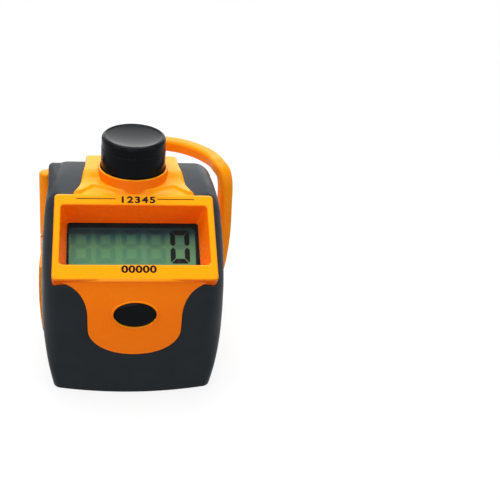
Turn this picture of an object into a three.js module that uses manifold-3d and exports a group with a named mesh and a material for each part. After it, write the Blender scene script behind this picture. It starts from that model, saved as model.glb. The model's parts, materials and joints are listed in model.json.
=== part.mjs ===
// Hand-held digital tally counter, in millimetres.
// +X is the user's right, the display leans back from -Y, +Z is up.
// The origin is the middle of the flat base.

import * as THREE from 'three';
import { ConvexGeometry } from 'three/addons/geometries/ConvexGeometry.js';
import { mergeVertices } from 'three/addons/utils/BufferGeometryUtils.js';
import Module from 'manifold-3d';

const wasm = await Module();
wasm.setup();

// Case
const bodyDepth = 43;
const shoulderHeight = 52;
const shoulderSlope = 0.6;
const rearTopRadius = 1.2;
const flankHalfWidth = 25.9;
const flankWidestY = 2;
const flankWidestZ = 20;
const flankFallY = 0.0035;
const flankFallUp = 0.0019;
const flankFallDown = 0.0059;
const frontCrown = 2.6;
const frontEdgeRadius = 4.2;
const frontBaseEdgeRadius = 1.6;
const rearEdgeRadius = 6;
const shellWall = 1.8;
const partingY = -3;
const partingHeight = 46;

// Clearances
const partGap = 0.3;
const seatGap = 0.1;

// Display frame on the leaning face, a little wider at its foot
const faceTilt = THREE.MathUtils.degToRad(39);
const faceSetback = 3.2;
const faceBottomHeight = 35.2;
const faceLength = 25.3;
const faceHalfWidth = 21.95;
const faceFlare = 0.03;
const faceProud = 1.1;
const faceCornerRadius = 1.6;
const faceEdge = 0.8;
const faceBlockDepth = 6.4;
const borderTop = 3.4;
const borderBottom = 4.56;
const borderSide = 1.85;
const recessDepth = 8.6;
const recessDraft = 1.72;
const recessWall = 1.6;
const recessCornerRadius = 1.5;

// Orange neck, lobe and their flange under the black shell
const neckRise = 2;
const neckRearHalfWidth = 13.2;
const neckFrontHalfWidth = 18.6;
const neckEdge = 1;
const neckRearEdge = 1.4;
const ledgeDrop = 2;
const ledgeSetback = 4.2;
const ledgeHalfWidth = 11.4;
const ledgeSweep = 0.85;
const ledgeStep = 3.8;
const lobeProud = 0.5;
const lobeHalfWidth = 12.8;
const lobeTopHalfWidth = 21.9;
const lobeBottomHeight = 13.2;
const lobeFillet = 3;
const lobeFilletRise = 1.1;
const lobeReach = 12;
const neckOverlap = 8;
const flangeThickness = 1.2;
const flangeReach = 1.2;

// Count button, from the case's rear wall and shoulder
const buttonSetback = 9.7;
const buttonRadius = 9.12;
const buttonRise = 9.3;
const buttonWall = 1.3;
const buttonEdge = 0.95;
const dishRim = 0.9;
const dishDepth = 0.6;
const buttonTravel = 1.8;
const collarRise = 3;
const collarWall = 0.6;
const collarFoot = 1.3;
const collarFootHeight = 3.6;
const seatDrop = 0.6;
const guideLength = 3.8;
const guideRadius = 4.8;
const stemRadius = 2;
const clipThickness = 0.7;
const clipRadius = 3.8;
const clipGrooveDepth = 0.6;
const stemTail = 0.9;
const springRadius = 4.3;
const springWire = 0.4;
const springTurns = 6;
const countDomeHeight = 3;
const countDomeRadius = 3.4;

// Reset button
const resetHeight = 25.2;
const resetHalfWidth = 5.75;
const resetHalfHeight = 3.6;
const resetRise = 0.75;
const resetTravel = 0.9;
const resetLip = 1.2;
const resetLipThickness = 0.8;
const resetPlungerRadius = 1.6;
const resetDomeHeight = 2.4;
const resetDomeRadius = 3.2;

// Display stack behind the recess
const windowThickness = 1;
const panelThickness = 2.2;
const stackMargin = 1.1;
const holderWall = 0.8;
const flexWidth = 24;
const flexThickness = 0.35;

// Circuit boards
const boardThickness = 1.4;
const mainBoardInset = 9.9;
const mainBoardHalfWidth = 15;
const mainBoardBottom = 7;
const mainBoardTop = 28.5;
const mainPostX = 9.5;
const mainPostZ = 17.6;
const boardPostRadius = 1.9;
const countBoardHalfWidth = 11;
const countBoardFront = 3;
const countBoardRear = 6.2;
const countPostX = 8.8;
const countPostShift = 1.2;
const blobRadius = 5;
const blobHeight = 1.4;
const blobZ = 13.5;
const leadRadius = 0.5;
const leadSpread = 5;

// Button cell and its compartment
const cellRadius = 5.8;
const cellThickness = 5.4;
const cellZ = 12.6;
const cellEdge = 0.4;
const cellGroove = 1.2;
const cupClearance = 1.1;
const cupWall = 1.2;
const cupFloorGap = 0.9;
const contactThickness = 0.3;
const contactHalfWidth = 2;
const contactPlateRadius = 4.4;
const contactTailRadius = 0.9;
const contactTail = 2.4;
const doorHalfWidth = 8.6;
const doorBottom = 3.6;
const doorTop = 25.6;
const doorThickness = 1.5;
const doorCornerRadius = 2;
const doorScrewZ = 22.8;
const ledgeThickness = 1.5;
const ledgeMargin = 1.4;

// Screws
const screwHeadRadius = 1.9;
const screwHeadHeight = 1.2;
const screwShaftRadius = 0.9;
const screwSlotLength = 2.6;
const screwSlotWidth = 0.4;
const screwSink = 1.4;
const caseScrewLength = 12;
const caseBossRadius = 3.2;
const casePostRadius = 2.6;
const caseJointInset = 6.5;
const lowerScrewX = 18;
const lowerScrewZ = 5.5;
const upperScrewX = 18.6;
const upperScrewDrop = 10;
const upperPostAhead = 3.2;
const gussetThickness = 1.4;
const boardScrewLength = 5;
const boardScrewHeadHeight = 1;
const doorScrewHead = 0.8;
const doorScrewLength = 4;

// Finger loop and its hinge, from the case's flank and rear wall
const hingeInset = 1.15;
const hingeProud = 0.3;
const knuckleRadius = 2.1;
const knuckleTopDrop = 4.1;
const pinRadius = 0.8;
const loopBarHalf = 2;
const loopBarCorner = 1.2;
const loopTopDrop = 1.6;
const loopBottom = 8.5;
const housingKnuckleBottom = 13;
const housingKnuckleTop = 26.5;
const loopReach = 22.7;
const loopSideGap = 3.3;
const loopSideSetback = 0.5;
const loopSideBow = 3.4;
const earHalfWidth = 24.2;
const earEdge = 1.1;
const cheekProud = 0.8;
const cheekTop = 27;
const cheekRearInset = 5;

// Colours
const orange = { color: 0xf47a08, roughness: 0.35, metalness: 0 };
const black = { color: 0x14171b, roughness: 0.4, metalness: 0 };
const steel = { color: 0xb9bcc0, roughness: 0.3, metalness: 1 };
const gold = { color: 0xc9a35a, roughness: 0.35, metalness: 1 };
const boardGreen = { color: 0x1f5a36, roughness: 0.5, metalness: 0 };
const greyRubber = { color: 0x8b8f92, roughness: 0.8, metalness: 0 };
const clear = { color: 0xdfe6e3, roughness: 0.08, metalness: 0 };
const panelGrey = { color: 0x7f9078, roughness: 0.3, metalness: 0 };
const filmBrown = { color: 0x8a5a25, roughness: 0.5, metalness: 0 };
const white = { color: 0xe6e4de, roughness: 0.6, metalness: 0 };

const frontY = -bodyDepth / 2;
const rearY = bodyDepth / 2;
const farAway = 60;
const deckHeight = shoulderHeight + neckRise;
const seatHeight = shoulderHeight - seatDrop;
const guideHeight = seatHeight - guideLength;
const collarHeight = shoulderHeight + collarRise;
const buttonTopHeight = collarHeight + buttonRise;
const buttonY = rearY - buttonSetback;
const countPostY = buttonY + countPostShift;
const mainBoardFrontY = frontY + mainBoardInset;
const mainBoardRearY = mainBoardFrontY + boardThickness;
const casePostEndY = rearY - caseJointInset;
const upperScrewZ = shoulderHeight - upperScrewDrop;
const hingeX = -flankHalfWidth + hingeInset;
const hingeY = rearY + hingeProud;
const knuckleTop = shoulderHeight - knuckleTopDrop;
const loopSideX = flankHalfWidth + loopSideGap;
const loopSideY = rearY + loopSideSetback;
const screwBore = screwShaftRadius + partGap;

// Solids from geometry, and back

function toSolid(geometry, matrix = new THREE.Matrix4()) {
  const bare = geometry.clone().applyMatrix4(matrix);
  bare.deleteAttribute('normal');
  bare.deleteAttribute('uv');
  const merged = mergeVertices(bare, 1e-4);
  return new wasm.Manifold(new wasm.Mesh({
    numProp: 3,
    vertProperties: new Float32Array(merged.attributes.position.array),
    triVerts: new Uint32Array(merged.index.array),
  }));
}

function toGeometry(solid) {
  const { vertProperties, triVerts } = solid.getMesh();
  const geometry = new THREE.BufferGeometry();
  geometry.setAttribute('position', new THREE.BufferAttribute(vertProperties, 3));
  geometry.setIndex(new THREE.BufferAttribute(triVerts, 1));
  geometry.computeVertexNormals();
  return geometry;
}

// Axes that an extrusion or a revolve is laid along

const alongX = new THREE.Matrix4().makeBasis(
  new THREE.Vector3(0, 1, 0), new THREE.Vector3(0, 0, 1), new THREE.Vector3(1, 0, 0));
const alongMinusY = new THREE.Matrix4().makeBasis(
  new THREE.Vector3(1, 0, 0), new THREE.Vector3(0, 0, 1), new THREE.Vector3(0, -1, 0));

function extrusion(points, depth) {
  return new THREE.ExtrudeGeometry(new THREE.Shape(points), { depth, bevelEnabled: false });
}

function prismX(points, from, to) {
  return toSolid(extrusion(points, to - from).translate(0, 0, from), alongX);
}

function prismY(points, from, to) {
  return toSolid(extrusion(points, to - from).translate(0, 0, -to), alongMinusY);
}

function prismZ(points, from, to) {
  return toSolid(extrusion(points, to - from).translate(0, 0, from));
}

function box(x0, x1, y0, y1, z0, z1) {
  const geometry = new THREE.BoxGeometry(x1 - x0, y1 - y0, z1 - z0);
  return toSolid(geometry.translate((x0 + x1) / 2, (y0 + y1) / 2, (z0 + z1) / 2));
}

function revolveGeometry(profile, segments = 24) {
  const points = profile.map(([r, z]) => new THREE.Vector2(r, z));
  return new THREE.LatheGeometry(points, segments).rotateX(Math.PI / 2);
}

function revolveZ(profile, x, y, segments) {
  return toSolid(revolveGeometry(profile, segments).translate(x, y, 0));
}

function rodZ(radius, from, to, x, y, segments) {
  return revolveZ([[0, from], [radius, from], [radius, to], [0, to]], x, y, segments);
}

function rodY(radius, from, to, x, z, segments = 24) {
  const profile = [[0, -to], [radius, -to], [radius, -from], [0, -from]];
  return toSolid(revolveGeometry(profile, segments), alongMinusY.clone().setPosition(x, 0, z));
}

function joined(solids) {
  return solids.reduce((sum, solid) => sum.add(solid));
}

function mirrored(halfOutline) {
  const other = halfOutline.map((p) => new THREE.Vector2(-p.x, p.y)).reverse();
  return halfOutline.concat(other.filter((p) => Math.abs(p.x) > 1e-6));
}

// An outline moved outward by a distance, each point along its own corner's bisector
function grown(outline, distance) {
  const sense = THREE.ShapeUtils.area(outline) > 0 ? 1 : -1;
  return outline.map((point, i) => {
    const before = outline[(i + outline.length - 1) % outline.length];
    const after = outline[(i + 1) % outline.length];
    const a = point.clone().sub(before).normalize();
    const b = after.clone().sub(point).normalize();
    const outward = new THREE.Vector2(a.y + b.y, -a.x - b.x).normalize();
    const stretch = Math.max(0.5, outward.x * a.y - outward.y * a.x);
    return point.clone().addScaledVector(outward, sense * distance / stretch);
  });
}

function roundedRectangle(x0, x1, y0, y1, radius, steps = 4) {
  const corners = [[x1, y0, -1, 1, -90], [x1, y1, -1, -1, 0], [x0, y1, 1, -1, 90], [x0, y0, 1, 1, 180]];
  return corners.flatMap(([x, y, towardX, towardY, start]) =>
    Array.from({ length: steps + 1 }, (_, k) => {
      const angle = THREE.MathUtils.degToRad(start + 90 * k / steps);
      return new THREE.Vector2(
        x + towardX * radius + radius * Math.cos(angle),
        y + towardY * radius + radius * Math.sin(angle));
    }));
}

// The leaning face: s runs up along it, h stands out of it

const faceOrigin = new THREE.Vector2(frontY + faceSetback, faceBottomHeight);
const faceBasis = new THREE.Matrix4().makeRotationX(faceTilt).setPosition(0, faceOrigin.x, faceOrigin.y);

function facePoint(s, h) {
  return new THREE.Vector2(
    faceOrigin.x + s * Math.cos(faceTilt) - h * Math.sin(faceTilt),
    faceOrigin.y + s * Math.sin(faceTilt) + h * Math.cos(faceTilt));
}

function facePrism(outline, from, to) {
  return toSolid(extrusion(outline, to - from).translate(0, 0, from), faceBasis);
}

// How much wider the frame is at s than at its top edge
function flareAt(s) {
  return 1 + faceFlare * (1 - s / faceLength);
}

// A block between two levels of the face, each a rounded rectangle and its height
function taperedBlock(...levels) {
  const points = levels.flatMap(({ x, s0, s1, radius, h }) =>
    roundedRectangle(-x, x, s0, s1, radius, 2).map((p) => new THREE.Vector3(p.x * flareAt(p.y), p.y, h)));
  return toSolid(new ConvexGeometry(points), faceBasis);
}

// Side outline of the case, (y, z), split so that no stretch is longer than its step

function sideOutline(divisions = 3, step = 9) {
  const under = 6;
  const lowKnuckle = facePoint(0, -faceProud);
  const highKnuckle = facePoint(faceLength, -faceProud);
  const path = new THREE.Path();
  path.moveTo(frontY, -under);
  path.bezierCurveTo(
    frontY - 0.2, 0.35 * lowKnuckle.y, frontY + 0.9, 0.7 * lowKnuckle.y,
    lowKnuckle.x - 0.8, lowKnuckle.y - 2.1);
  const slantStart = facePoint(2.2, -faceProud + 0.15);
  path.quadraticCurveTo(lowKnuckle.x, lowKnuckle.y, slantStart.x, slantStart.y);
  const bulge = facePoint(faceLength / 2, -faceProud + 1);
  const slantEnd = facePoint(faceLength - 2.2, -faceProud + 0.15);
  path.quadraticCurveTo(bulge.x, bulge.y, slantEnd.x, slantEnd.y);
  path.quadraticCurveTo(highKnuckle.x, highKnuckle.y, highKnuckle.x + 2.2, highKnuckle.y + shoulderSlope);
  const cornerX = rearY - rearTopRadius;
  path.quadraticCurveTo(cornerX - 7, shoulderHeight, cornerX, shoulderHeight - 0.1);
  path.absarc(cornerX, shoulderHeight - 0.1 - rearTopRadius, rearTopRadius, Math.PI / 2, 0, true);
  path.lineTo(rearY, -under);
  path.closePath();
  const rough = path.getPoints(divisions);
  return rough.flatMap((point, i) => {
    const next = rough[(i + 1) % rough.length];
    const pieces = Math.max(1, Math.ceil(point.distanceTo(next) / step));
    return Array.from({ length: pieces }, (_, k) => point.clone().lerp(next, k / pieces));
  }).filter((point, i, all) => point.distanceTo(all[(i + 1) % all.length]) > 0.05);
}

// Half width of the case, widest low down and drawn in most toward the base
function flankX(y, z) {
  const fall = z > flankWidestZ ? flankFallUp : flankFallDown;
  return flankHalfWidth - fall * (z - flankWidestZ) ** 2 - flankFallY * (y - flankWidestY) ** 2;
}

// The whole case form, grown by an offset, closed and cut flat at its floor.
// Each ring across it is the side outline, drawn in toward one centre by the crown and the edge rounding.
// The forms inside the wall, which nobody sees, have fewer rings.
// Growth adds to the offset from place to place.
function caseForm(offset, floor = 0, growth = () => 0) {
  const centre = new THREE.Vector2(flankWidestY, shoulderHeight * 0.42);
  const inside = offset < 0;
  const leastRadius = 0.6;
  const loop = inside ? sideOutline(2, 12) : sideOutline();
  const edgeSteps = inside ? 2 : 3;
  const acrossSteps = inside ? 2 : 3;
  const capRings = inside ? [0.6] : [0.4, 0.75];
  const rays = loop.map((point, i) => {
    const before = loop[(i + loop.length - 1) % loop.length];
    const after = loop[(i + 1) % loop.length];
    const tangent = after.clone().sub(before).normalize();
    const inward = centre.clone().sub(point).normalize();
    const normal = new THREE.Vector2(tangent.y, -tangent.x);
    const towardCentre = Math.abs(normal.dot(inward));
    const rearness = THREE.MathUtils.smoothstep(Math.abs(normal.x) * Math.sign(point.x), 0.6, 0.98);
    const aboveBase = THREE.MathUtils.smoothstep(point.y, 0, flankWidestZ);
    const frontRadius = THREE.MathUtils.lerp(frontBaseEdgeRadius, frontEdgeRadius, aboveBase);
    const grow = offset + growth(point);
    const radius = Math.max(leastRadius, THREE.MathUtils.lerp(frontRadius, rearEdgeRadius, rearness) + grow);
    const behind = THREE.MathUtils.clamp((point.x - frontY) / bodyDepth, 0, 1);
    const crown = frontCrown * (1 - behind) ** 1.4;
    return { point, inward, lean: Math.max(0.5, towardCentre), radius, crown, grow };
  });
  const ringPoint = (ray, depth, flatShare, sine) => {
    let x = 0;
    const at = ray.point.clone();
    for (let pass = 0; pass < 3; pass += 1) {
      const edge = flankX(at.x, at.y) + ray.grow;
      x = flatShare * (edge - ray.radius) + Math.sign(flatShare) * ray.radius * sine;
      const inset = ray.crown * (x / faceHalfWidth) ** 2 + depth * ray.radius - ray.grow;
      at.copy(ray.point).addScaledVector(ray.inward, inset / ray.lean);
    }
    return [x, at.x, at.y];
  };
  const side = (sign) => {
    const rim = rays.map((ray) => ringPoint(ray, 1, sign, 1));
    const caps = capRings.map((share) => rim.map(([, y, z]) => {
      const capY = THREE.MathUtils.lerp(centre.x, y, share);
      const capZ = THREE.MathUtils.lerp(centre.y, z, share);
      return [sign * (flankX(capY, capZ) + offset), capY, capZ];
    }));
    const rounding = Array.from({ length: edgeSteps + 1 }, (_, k) => {
      const angle = Math.PI / 2 * (1 - k / edgeSteps);
      return rays.map((ray) => ringPoint(ray, 1 - Math.cos(angle), sign, Math.sin(angle)));
    });
    return caps.concat(rounding);
  };
  const across = [];
  for (let k = 1 - acrossSteps; k < acrossSteps; k += 1) {
    across.push(rays.map((ray) => ringPoint(ray, 0, k / acrossSteps, 0)));
  }
  const rings = side(-1).concat(across, side(1).reverse());
  const tip = flankX(centre.x, centre.y) + offset;
  const positions = rings.flat(2).concat([-tip, centre.x, centre.y, tip, centre.x, centre.y]);
  const count = loop.length;
  const leftTip = rings.length * count;
  const index = [];
  for (let i = 0; i < count; i += 1) {
    const next = (i + 1) % count;
    index.push(leftTip, i, next);
    for (let k = 0; k + 1 < rings.length; k += 1) {
      const a = k * count + i;
      const b = k * count + next;
      index.push(a, a + count, b, b, a + count, b + count);
    }
    const last = (rings.length - 1) * count;
    index.push(leftTip + 1, last + next, last + i);
  }
  const geometry = new THREE.BufferGeometry();
  geometry.setAttribute('position', new THREE.Float32BufferAttribute(positions, 3));
  geometry.setIndex(index);
  const solid = toSolid(geometry);
  return solid.subtract(box(-farAway, farAway, -farAway, farAway, -farAway, floor));
}

// Outlines of the orange housing in the black shell

function neckOutline() {
  const frontEnd = facePoint(faceLength, 0).x - 2.4;
  const length = rearY - frontEnd;
  const half = new THREE.Path();
  half.moveTo(neckRearHalfWidth, rearY + 2);
  half.lineTo(neckRearHalfWidth, rearY);
  half.bezierCurveTo(
    neckRearHalfWidth * 1.03, rearY - length * 0.4, neckRearHalfWidth * 1.08, rearY - length * 0.71,
    neckFrontHalfWidth, frontEnd);
  return mirrored(half.getPoints(5));
}

function lobeOutline() {
  const cornerHeight = faceBottomHeight - 1.4;
  const sideHeight = lobeBottomHeight + lobeHalfWidth * 0.84;
  const half = new THREE.Path();
  half.moveTo(lobeTopHalfWidth, faceBottomHeight + 1.4);
  half.lineTo(lobeTopHalfWidth, cornerHeight);
  half.bezierCurveTo(
    lobeTopHalfWidth * 0.75, cornerHeight - 0.2, lobeHalfWidth * 1.015, sideHeight + 6,
    lobeHalfWidth * 1.01, sideHeight);
  half.lineTo(lobeHalfWidth, lobeBottomHeight + 7);
  half.bezierCurveTo(
    lobeHalfWidth * 0.98, lobeBottomHeight + 3.2, lobeHalfWidth * 0.62, lobeBottomHeight,
    0, lobeBottomHeight);
  return mirrored(half.getPoints(5));
}

function faceOutline() {
  return roundedRectangle(-faceHalfWidth, faceHalfWidth, 0, faceLength, faceCornerRadius, 3)
    .map((p) => new THREE.Vector2(p.x * flareAt(p.y), p.y));
}

// Everything inside the orange outlines, through the whole wall
function orangeRegion(reach) {
  const neck = prismZ(grown(neckOutline(), reach), guideHeight - 4, farAway);
  const rearCut = box(-farAway, farAway, rearY - neckOverlap, farAway, 0, partingHeight + partGap - reach);
  const lobe = prismY(grown(lobeOutline(), reach), -farAway / 2, frontY + lobeReach);
  const face = facePrism(grown(faceOutline(), reach), -faceBlockDepth - shellWall, faceBlockDepth);
  return neck.subtract(rearCut).add(lobe).add(face);
}

// The rear housing's share of the case, (y, z)
function partingOutline() {
  const path = new THREE.Path();
  path.moveTo(farAway, -farAway / 2);
  path.lineTo(partingY, -farAway / 2);
  path.lineTo(partingY, 0);
  const shares = [[0.12, 0.26], [0.18, 0.54], [0.37, 0.76], [0.65, 0.91], [1, 1]];
  path.splineThru(shares.map(([back, up]) =>
    new THREE.Vector2(THREE.MathUtils.lerp(partingY, rearY, back), partingHeight * up)));
  path.lineTo(farAway, partingHeight);
  return path.getPoints(8);
}

const caseScrews = [
  [-lowerScrewX, lowerScrewZ], [lowerScrewX, lowerScrewZ],
  [-upperScrewX, upperScrewZ], [upperScrewX, upperScrewZ],
];

const emptyCase = caseForm(0).subtract(caseForm(-shellWall, shellWall));
const headSeatY = rearY - screwSink - screwHeadHeight;

// The shell's left rear corner, kept square to shelter the top of the hinge
function hingeEar() {
  const low = knuckleTop + partGap;
  const innerX = -neckFrontHalfWidth;
  const backY = rearY - seatGap;
  const plan = [
    new THREE.Vector2(-earHalfWidth, hingeY - knuckleRadius * 3.4),
    new THREE.Vector2(-earHalfWidth, rearY - earEdge),
    new THREE.Vector2(-earHalfWidth + earEdge, backY),
    new THREE.Vector2(innerX, backY),
    new THREE.Vector2(innerX, hingeY - knuckleRadius * 4),
  ];
  const top = shoulderHeight - partGap - seatGap;
  const levels = [[0, low], [0, shoulderHeight - 2 * earEdge], [-earEdge, top]];
  const points = levels.flatMap(([grow, z]) =>
    grown(plan, grow).map((p) => new THREE.Vector3(p.x, p.y, z)));
  return toSolid(new ConvexGeometry(points));
}

function frontShell() {
  const inside = caseForm(-shellWall / 2, shellWall / 2);
  const shell = emptyCase
    .subtract(prismX(grown(partingOutline(), partGap / 2), -farAway, farAway))
    .subtract(orangeRegion(partGap));
  const postStartY = buttonY - upperPostAhead;
  const posts = caseScrews.map(([x, z], i) => {
    const lower = i < 2;
    const post = rodY(casePostRadius, lower ? frontY : postStartY, casePostEndY, x, z, 12);
    if (lower) {
      return post;
    }
    const halfGusset = gussetThickness / 2;
    return post.add(box(x - halfGusset, x + halfGusset, postStartY, casePostEndY, z, shoulderHeight));
  });
  const bores = caseScrews.map(([x, z]) =>
    rodY(screwBore, headSeatY - caseScrewLength - 1, casePostEndY + 1, x, z, 10));
  return joined([shell, hingeEar().subtract(caseForm(-shellWall)), joined(posts).intersect(inside)])
    .subtract(joined(bores));
}

// Neck: a deck behind the button, a rounded step down to a ledge, then a slope to the frame's top edge

const brow = facePoint(faceLength, -faceEdge / 2);

function neckHalfWidth(y) {
  const side = neckOutline().filter((p) => p.x > 0);
  const after = side.findIndex((p) => p.y < y);
  if (after < 1) {
    return after === 0 ? neckRearHalfWidth : neckFrontHalfWidth;
  }
  const [a, b] = [side[after - 1], side[after]];
  return THREE.MathUtils.lerp(a.x, b.x, (y - a.y) / (b.y - a.y));
}

function neckHeight(x, y) {
  const side = Math.max(0, Math.abs(x) - ledgeHalfWidth);
  const ledgeY = buttonY - ledgeSetback - ledgeSweep * side;
  const ledge = deckHeight - ledgeDrop - 0.1 * side;
  if (y > ledgeY) {
    const share = THREE.MathUtils.smoothstep(y - ledgeY, 0, ledgeStep + side / 2);
    return THREE.MathUtils.lerp(ledge, deckHeight, share);
  }
  return THREE.MathUtils.lerp(ledge, brow.y, Math.min(1, (ledgeY - y) / Math.max(ledgeY - brow.x, seatGap)));
}

// How far a quarter-round edge falls at a distance from its side
function edgeFall(distance, radius) {
  const left = radius - Math.min(Math.max(distance, 0), radius);
  return radius - Math.sqrt(radius ** 2 - left ** 2);
}

function neckSolid(low) {
  const front = brow.x - neckEdge;
  const rear = rearY - neckRearEdge;
  const rows = 12;
  const ys = Array.from({ length: rows }, (_, k) => THREE.MathUtils.lerp(front, rear, k / (rows - 1)));
  ys.push(rearY - 0.3 * neckRearEdge, rearY);
  const quarter = [0, 0.3, 1].map((share) => share * neckEdge);
  const inner = [0.75, 0.5, 0.25, 0];
  const top = ys.map((y) => {
    const half = neckHalfWidth(y);
    const right = quarter.map((t) => half - t).concat(inner.map((share) => share * (half - neckEdge)));
    const xs = right.concat(right.slice(0, -1).reverse().map((x) => -x));
    return xs.map((x) => [
      x, y, neckHeight(x, y) - edgeFall(half - Math.abs(x), neckEdge) - edgeFall(rearY - y, neckRearEdge),
    ]);
  });
  return slabUnder(top, low);
}

// A solid between a grid of points and a flat floor under it
function slabUnder(top, low) {
  const across = top[0].length;
  const floor = top.map((row) => row.map(([x, y]) => [x, y, low]));
  const at = (row, column) => row * across + column;
  const under = top.length * across;
  const index = [];
  const quad = (a, b, c, d) => index.push(a, b, c, a, c, d);
  for (let r = 0; r + 1 < top.length; r += 1) {
    for (let c = 0; c + 1 < across; c += 1) {
      quad(at(r, c), at(r + 1, c), at(r + 1, c + 1), at(r, c + 1));
      quad(under + at(r, c), under + at(r, c + 1), under + at(r + 1, c + 1), under + at(r + 1, c));
    }
    quad(at(r, 0), under + at(r, 0), under + at(r + 1, 0), at(r + 1, 0));
    const last = across - 1;
    quad(at(r, last), at(r + 1, last), under + at(r + 1, last), under + at(r, last));
  }
  const lastRow = top.length - 1;
  for (let c = 0; c + 1 < across; c += 1) {
    quad(at(0, c), at(0, c + 1), under + at(0, c + 1), under + at(0, c));
    quad(at(lastRow, c), under + at(lastRow, c), under + at(lastRow, c + 1), at(lastRow, c + 1));
  }
  const geometry = new THREE.BufferGeometry();
  geometry.setAttribute('position', new THREE.Float32BufferAttribute(top.concat(floor).flat(2), 3));
  geometry.setIndex(index);
  return toSolid(geometry);
}

function faceFrame() {
  const outer = new THREE.ExtrudeGeometry(new THREE.Shape(faceOutline()), {
    depth: faceBlockDepth - faceEdge, bevelEnabled: true, bevelSegments: 2,
    bevelThickness: faceEdge, bevelSize: faceEdge, bevelOffset: -faceEdge,
  });
  const block = toSolid(outer.translate(0, 0, -faceBlockDepth), faceBasis);
  const slope = recessDraft / recessDepth;
  const level = (h, wall, radius) => {
    const inset = -h * slope - wall;
    return {
      x: faceHalfWidth - borderSide - inset,
      s0: borderBottom + inset,
      s1: faceLength - borderTop - inset,
      radius,
      h,
    };
  };
  const tight = recessCornerRadius / 2;
  const funnel = taperedBlock(
    level(-recessDepth, recessWall, recessCornerRadius),
    level(-faceEdge, recessWall / 2, recessCornerRadius));
  const recess = taperedBlock(level(-recessDepth - 2, 0, tight), level(2, 0, recessCornerRadius));
  return { frame: block.add(funnel), recess };
}

// Where the reset button's axis meets the case, and its tilted basis
function resetSeat() {
  const outline = sideOutline().filter((p) => p.x < 0 && p.y > 1 && p.y < faceBottomHeight);
  const above = outline.findIndex((p) => p.y > resetHeight);
  const [low, high] = [outline[above - 1], outline[above]];
  const share = (resetHeight - low.y) / (high.y - low.y);
  const tangent = high.clone().sub(low).normalize();
  return { y: THREE.MathUtils.lerp(low.x, high.x, share), angle: Math.atan2(tangent.y, tangent.x) };
}

const reset = resetSeat();
const resetBasis = new THREE.Matrix4().makeRotationX(reset.angle).setPosition(0, reset.y, resetHeight);
const resetDomeY = mainBoardFrontY - seatGap;
const resetTipDepth = (resetDomeY - resetDomeHeight - partGap - reset.y) / Math.sin(reset.angle);
const resetDomeZ = resetHeight - (mainBoardFrontY - reset.y) / Math.tan(reset.angle);

function ovalRevolve(profile, segments = 24) {
  const geometry = revolveGeometry(profile, segments).scale(1, resetHalfHeight / resetHalfWidth, 1);
  return toSolid(geometry, resetBasis);
}

// Sweeps the lobe's top out to the frame's lower edge
function lobeGrowth(point) {
  const below = faceBottomHeight - 1 - point.y;
  if (point.x > 0 || below > lobeFillet) {
    return 0;
  }
  return lobeFilletRise * (1 - Math.sqrt(1 - (1 - Math.max(below, 0) / lobeFillet) ** 2));
}

function collarSolid(bore) {
  const foot = collarHeight - collarFootHeight;
  return revolveZ([
    [0, guideHeight + 2], [bore + collarWall + collarFoot, guideHeight + 2],
    [bore + collarWall + collarFoot, foot], [bore + collarWall + collarFoot * 0.36, foot + 1.3],
    [bore + collarWall + 0.1, foot + 2.6], [bore + collarWall, collarHeight - 0.3],
    [bore + collarWall - 0.3, collarHeight], [0, collarHeight],
  ], 0, buttonY, 32)
    .subtract(box(-farAway, farAway, rearY, farAway, 0, farAway));
}

function countPosts() {
  return [-countPostX, countPostX].map((x) =>
    rodZ(boardPostRadius, countBoardTop + seatGap, shoulderHeight - 1, x, countPostY, 12));
}

function countBores() {
  return [-countPostX, countPostX].map((x) =>
    rodZ(screwBore, countBoardTop - 1, countBoardTop + boardScrewLength + partGap, x, countPostY, 10));
}

function mainPosts() {
  return [-mainPostX, mainPostX].map((x) =>
    rodY(boardPostRadius, frontY + 1, mainBoardFrontY - seatGap, x, mainPostZ, 12));
}

function mainBores() {
  return [-mainPostX, mainPostX].map((x) =>
    rodY(screwBore, mainBoardFrontY - boardScrewLength - partGap, mainBoardFrontY + 1, x, mainPostZ, 10));
}

function resetHole() {
  return ovalRevolve([
    [0, -farAway / 6], [resetHalfWidth + partGap, -farAway / 6],
    [resetHalfWidth + partGap, farAway / 6], [0, farAway / 6],
  ]);
}

function centreHousing() {
  const region = orangeRegion(0);
  const inner = caseForm(-shellWall - partGap - flangeThickness, shellWall);
  const neck = neckSolid(guideHeight - 4)
    .subtract(box(-farAway, farAway, rearY - neckOverlap, farAway, 0, partingHeight + partGap));
  const lobe = caseForm(lobeProud, 0, lobeGrowth)
    .intersect(prismY(lobeOutline(), -farAway / 2, frontY + lobeReach));
  const flange = caseForm(-shellWall - partGap, shellWall).intersect(orangeRegion(flangeReach));
  const { frame, recess } = faceFrame();
  const wall = region.intersect(caseForm(-shellWall, shellWall));
  const skin = neck.add(lobe).add(flange.add(wall)).subtract(inner);
  const bore = buttonRadius + partGap;
  const guide = rodZ(guideRadius, guideHeight, seatHeight, 0, buttonY, 16);
  return joined([skin, frame, collarSolid(bore), guide])
    .add(joined(countPosts()).subtract(caseForm(-0.5).subtract(inner).subtract(region)))
    .add(joined(mainPosts()).intersect(caseForm(-shellWall - partGap)))
    .subtract(recess)
    .subtract(rodZ(bore, seatHeight, collarHeight + 1, 0, buttonY, 32))
    .subtract(rodZ(stemRadius + partGap, guideHeight - 1, seatHeight + 1, 0, buttonY, 16))
    .subtract(resetHole())
    .subtract(joined(countBores()))
    .subtract(joined(mainBores()));
}

// Battery compartment sizes shared by the housing, the cell and the contacts
const cupBore = cellRadius + cupClearance;
const doorInnerY = rearY - doorThickness;
const ledgeFrontY = doorInnerY - ledgeThickness;
const cellRearY = ledgeFrontY - 2 * seatGap;
const cellFrontY = cellRearY - cellThickness;
const cupFloorY = cellFrontY - cupFloorGap;
const stripZ = cellZ + cellRadius + partGap;

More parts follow.
